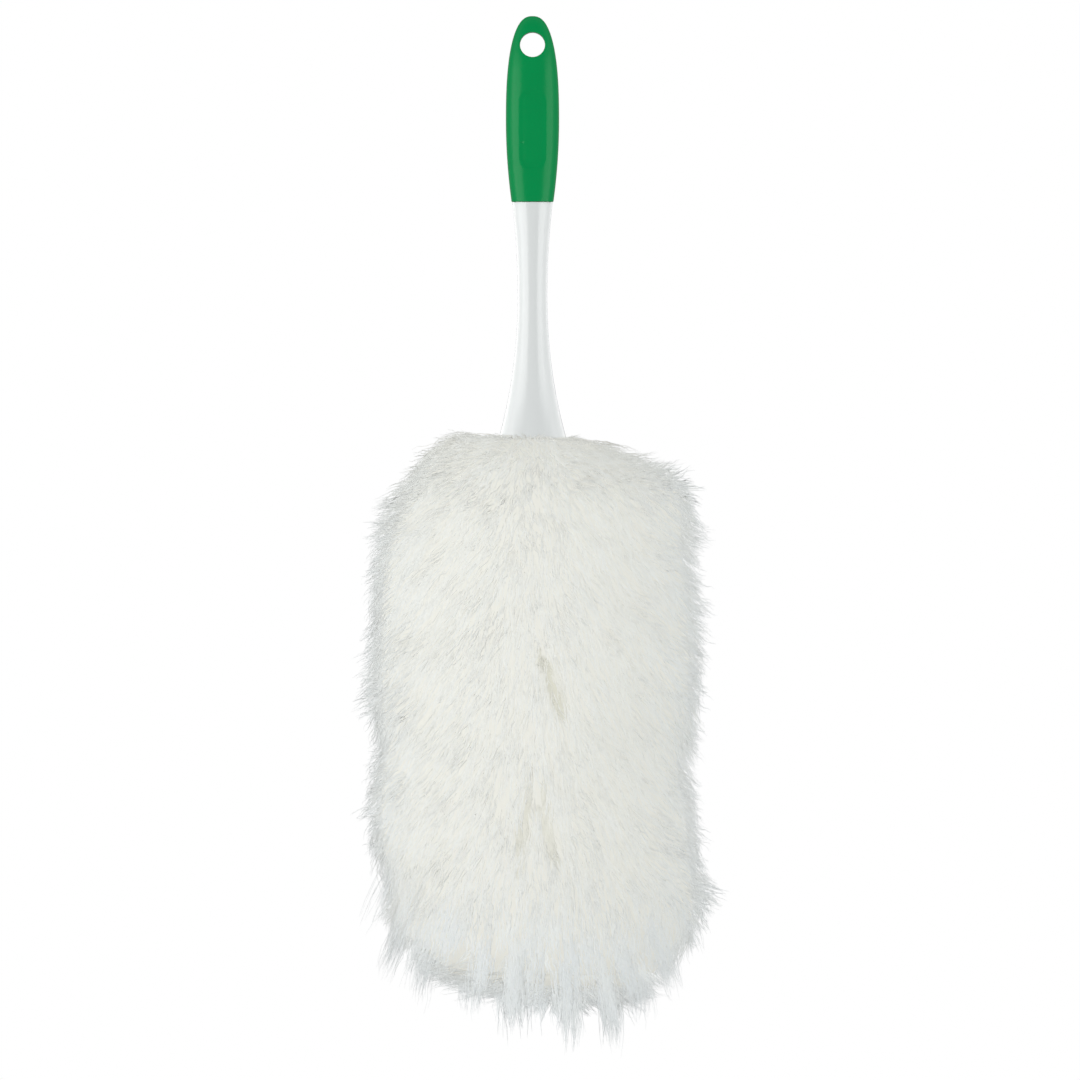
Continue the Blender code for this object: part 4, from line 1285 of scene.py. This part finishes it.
def white_floor():
    """Matt white under the duster, where it holds the duster's shadow, and as white as the sky toward its
    edge. Seen from below it isn't there, so that the underside of the duster can be looked at."""
    made, tree, shader = new_material("White floor", Roughness=0.9, Specular_IOR_Level=0.2)
    seen = seen_share(tree)
    tone = colour_between(tree, seen, (0.8, 0.8, 0.8), (0.95, 0.95, 0.95))
    tree.links.new(tone, shader.inputs["Base Color"])
    place = add_node(tree, "ShaderNodeTexCoord").outputs["Object"]
    flat = vector_math(tree, "MULTIPLY", place, (1, 1, 0))
    edge = value_between(tree, vector_math(tree, "LENGTH", flat), 0.0, 1.0, 0.30, 0.85, "SMOOTHSTEP")
    glow = add_node(tree, "ShaderNodeEmission", {"Color": (1, 1, 1, 1), "Strength": 1.0}).outputs[0]
    share = scalar_math(tree, "MULTIPLY", edge, seen)
    upper = add_node(tree, "ShaderNodeMixShader", {0: share, 1: shader.outputs[0], 2: glow}).outputs[0]
    facing = add_node(tree, "ShaderNodeNewGeometry").outputs["Normal"]
    height = add_node(tree, "ShaderNodeSeparateXYZ", {0: facing}).outputs["Z"]
    under = scalar_math(tree, "MULTIPLY", scalar_math(tree, "LESS_THAN", height, 0.0), seen)
    clear = add_node(tree, "ShaderNodeBsdfTransparent").outputs[0]
    whole = add_node(tree, "ShaderNodeMixShader", {0: under, 1: upper, 2: clear}).outputs[0]
    tree.links.new(whole, tree.nodes["Material Output"].inputs["Surface"])
    return made


class DUSTER_PT_panel(bpy.types.Panel):
    """Lists the duster's settings and steps"""

    bl_label = "Duster"
    bl_idname = "DUSTER_PT_panel"
    bl_space_type = "VIEW_3D"
    bl_region_type = "UI"
    bl_category = "Duster"

    def draw(self, context):
        for group in (context.scene.duster_handle, context.scene.duster_wool, context.scene.duster_stage):
            box = self.layout.box()
            for name in type(group).__annotations__:
                box.prop(group, name)
        for step in STEPS:
            self.layout.operator(step.bl_idname)


STEPS = (
    DUSTER_OT_make_grip,
    DUSTER_OT_make_handle,
    DUSTER_OT_finish_core,
    DUSTER_OT_make_dense_wool,
    DUSTER_OT_grow_wool,
    DUSTER_OT_set_stage,
)
CLASSES = (HandleSettings, WoolSettings, StageSettings, *STEPS, DUSTER_PT_panel)


def register():
    for cls in CLASSES:
        bpy.utils.register_class(cls)
    bpy.types.Scene.duster_handle = PointerProperty(type=HandleSettings)
    bpy.types.Scene.duster_wool = PointerProperty(type=WoolSettings)
    bpy.types.Scene.duster_stage = PointerProperty(type=StageSettings)


def unregister():
    del bpy.types.Scene.duster_stage
    del bpy.types.Scene.duster_wool
    del bpy.types.Scene.duster_handle
    for cls in reversed(CLASSES):
        bpy.utils.unregister_class(cls)


def main():
    register()
    bpy.ops.duster.make_grip()
    bpy.ops.duster.make_handle()
    bpy.ops.duster.finish_core()
    bpy.ops.duster.make_dense_wool()
    bpy.ops.duster.grow_wool()
    bpy.ops.duster.set_stage()


if __name__ == "__main__":
    main()
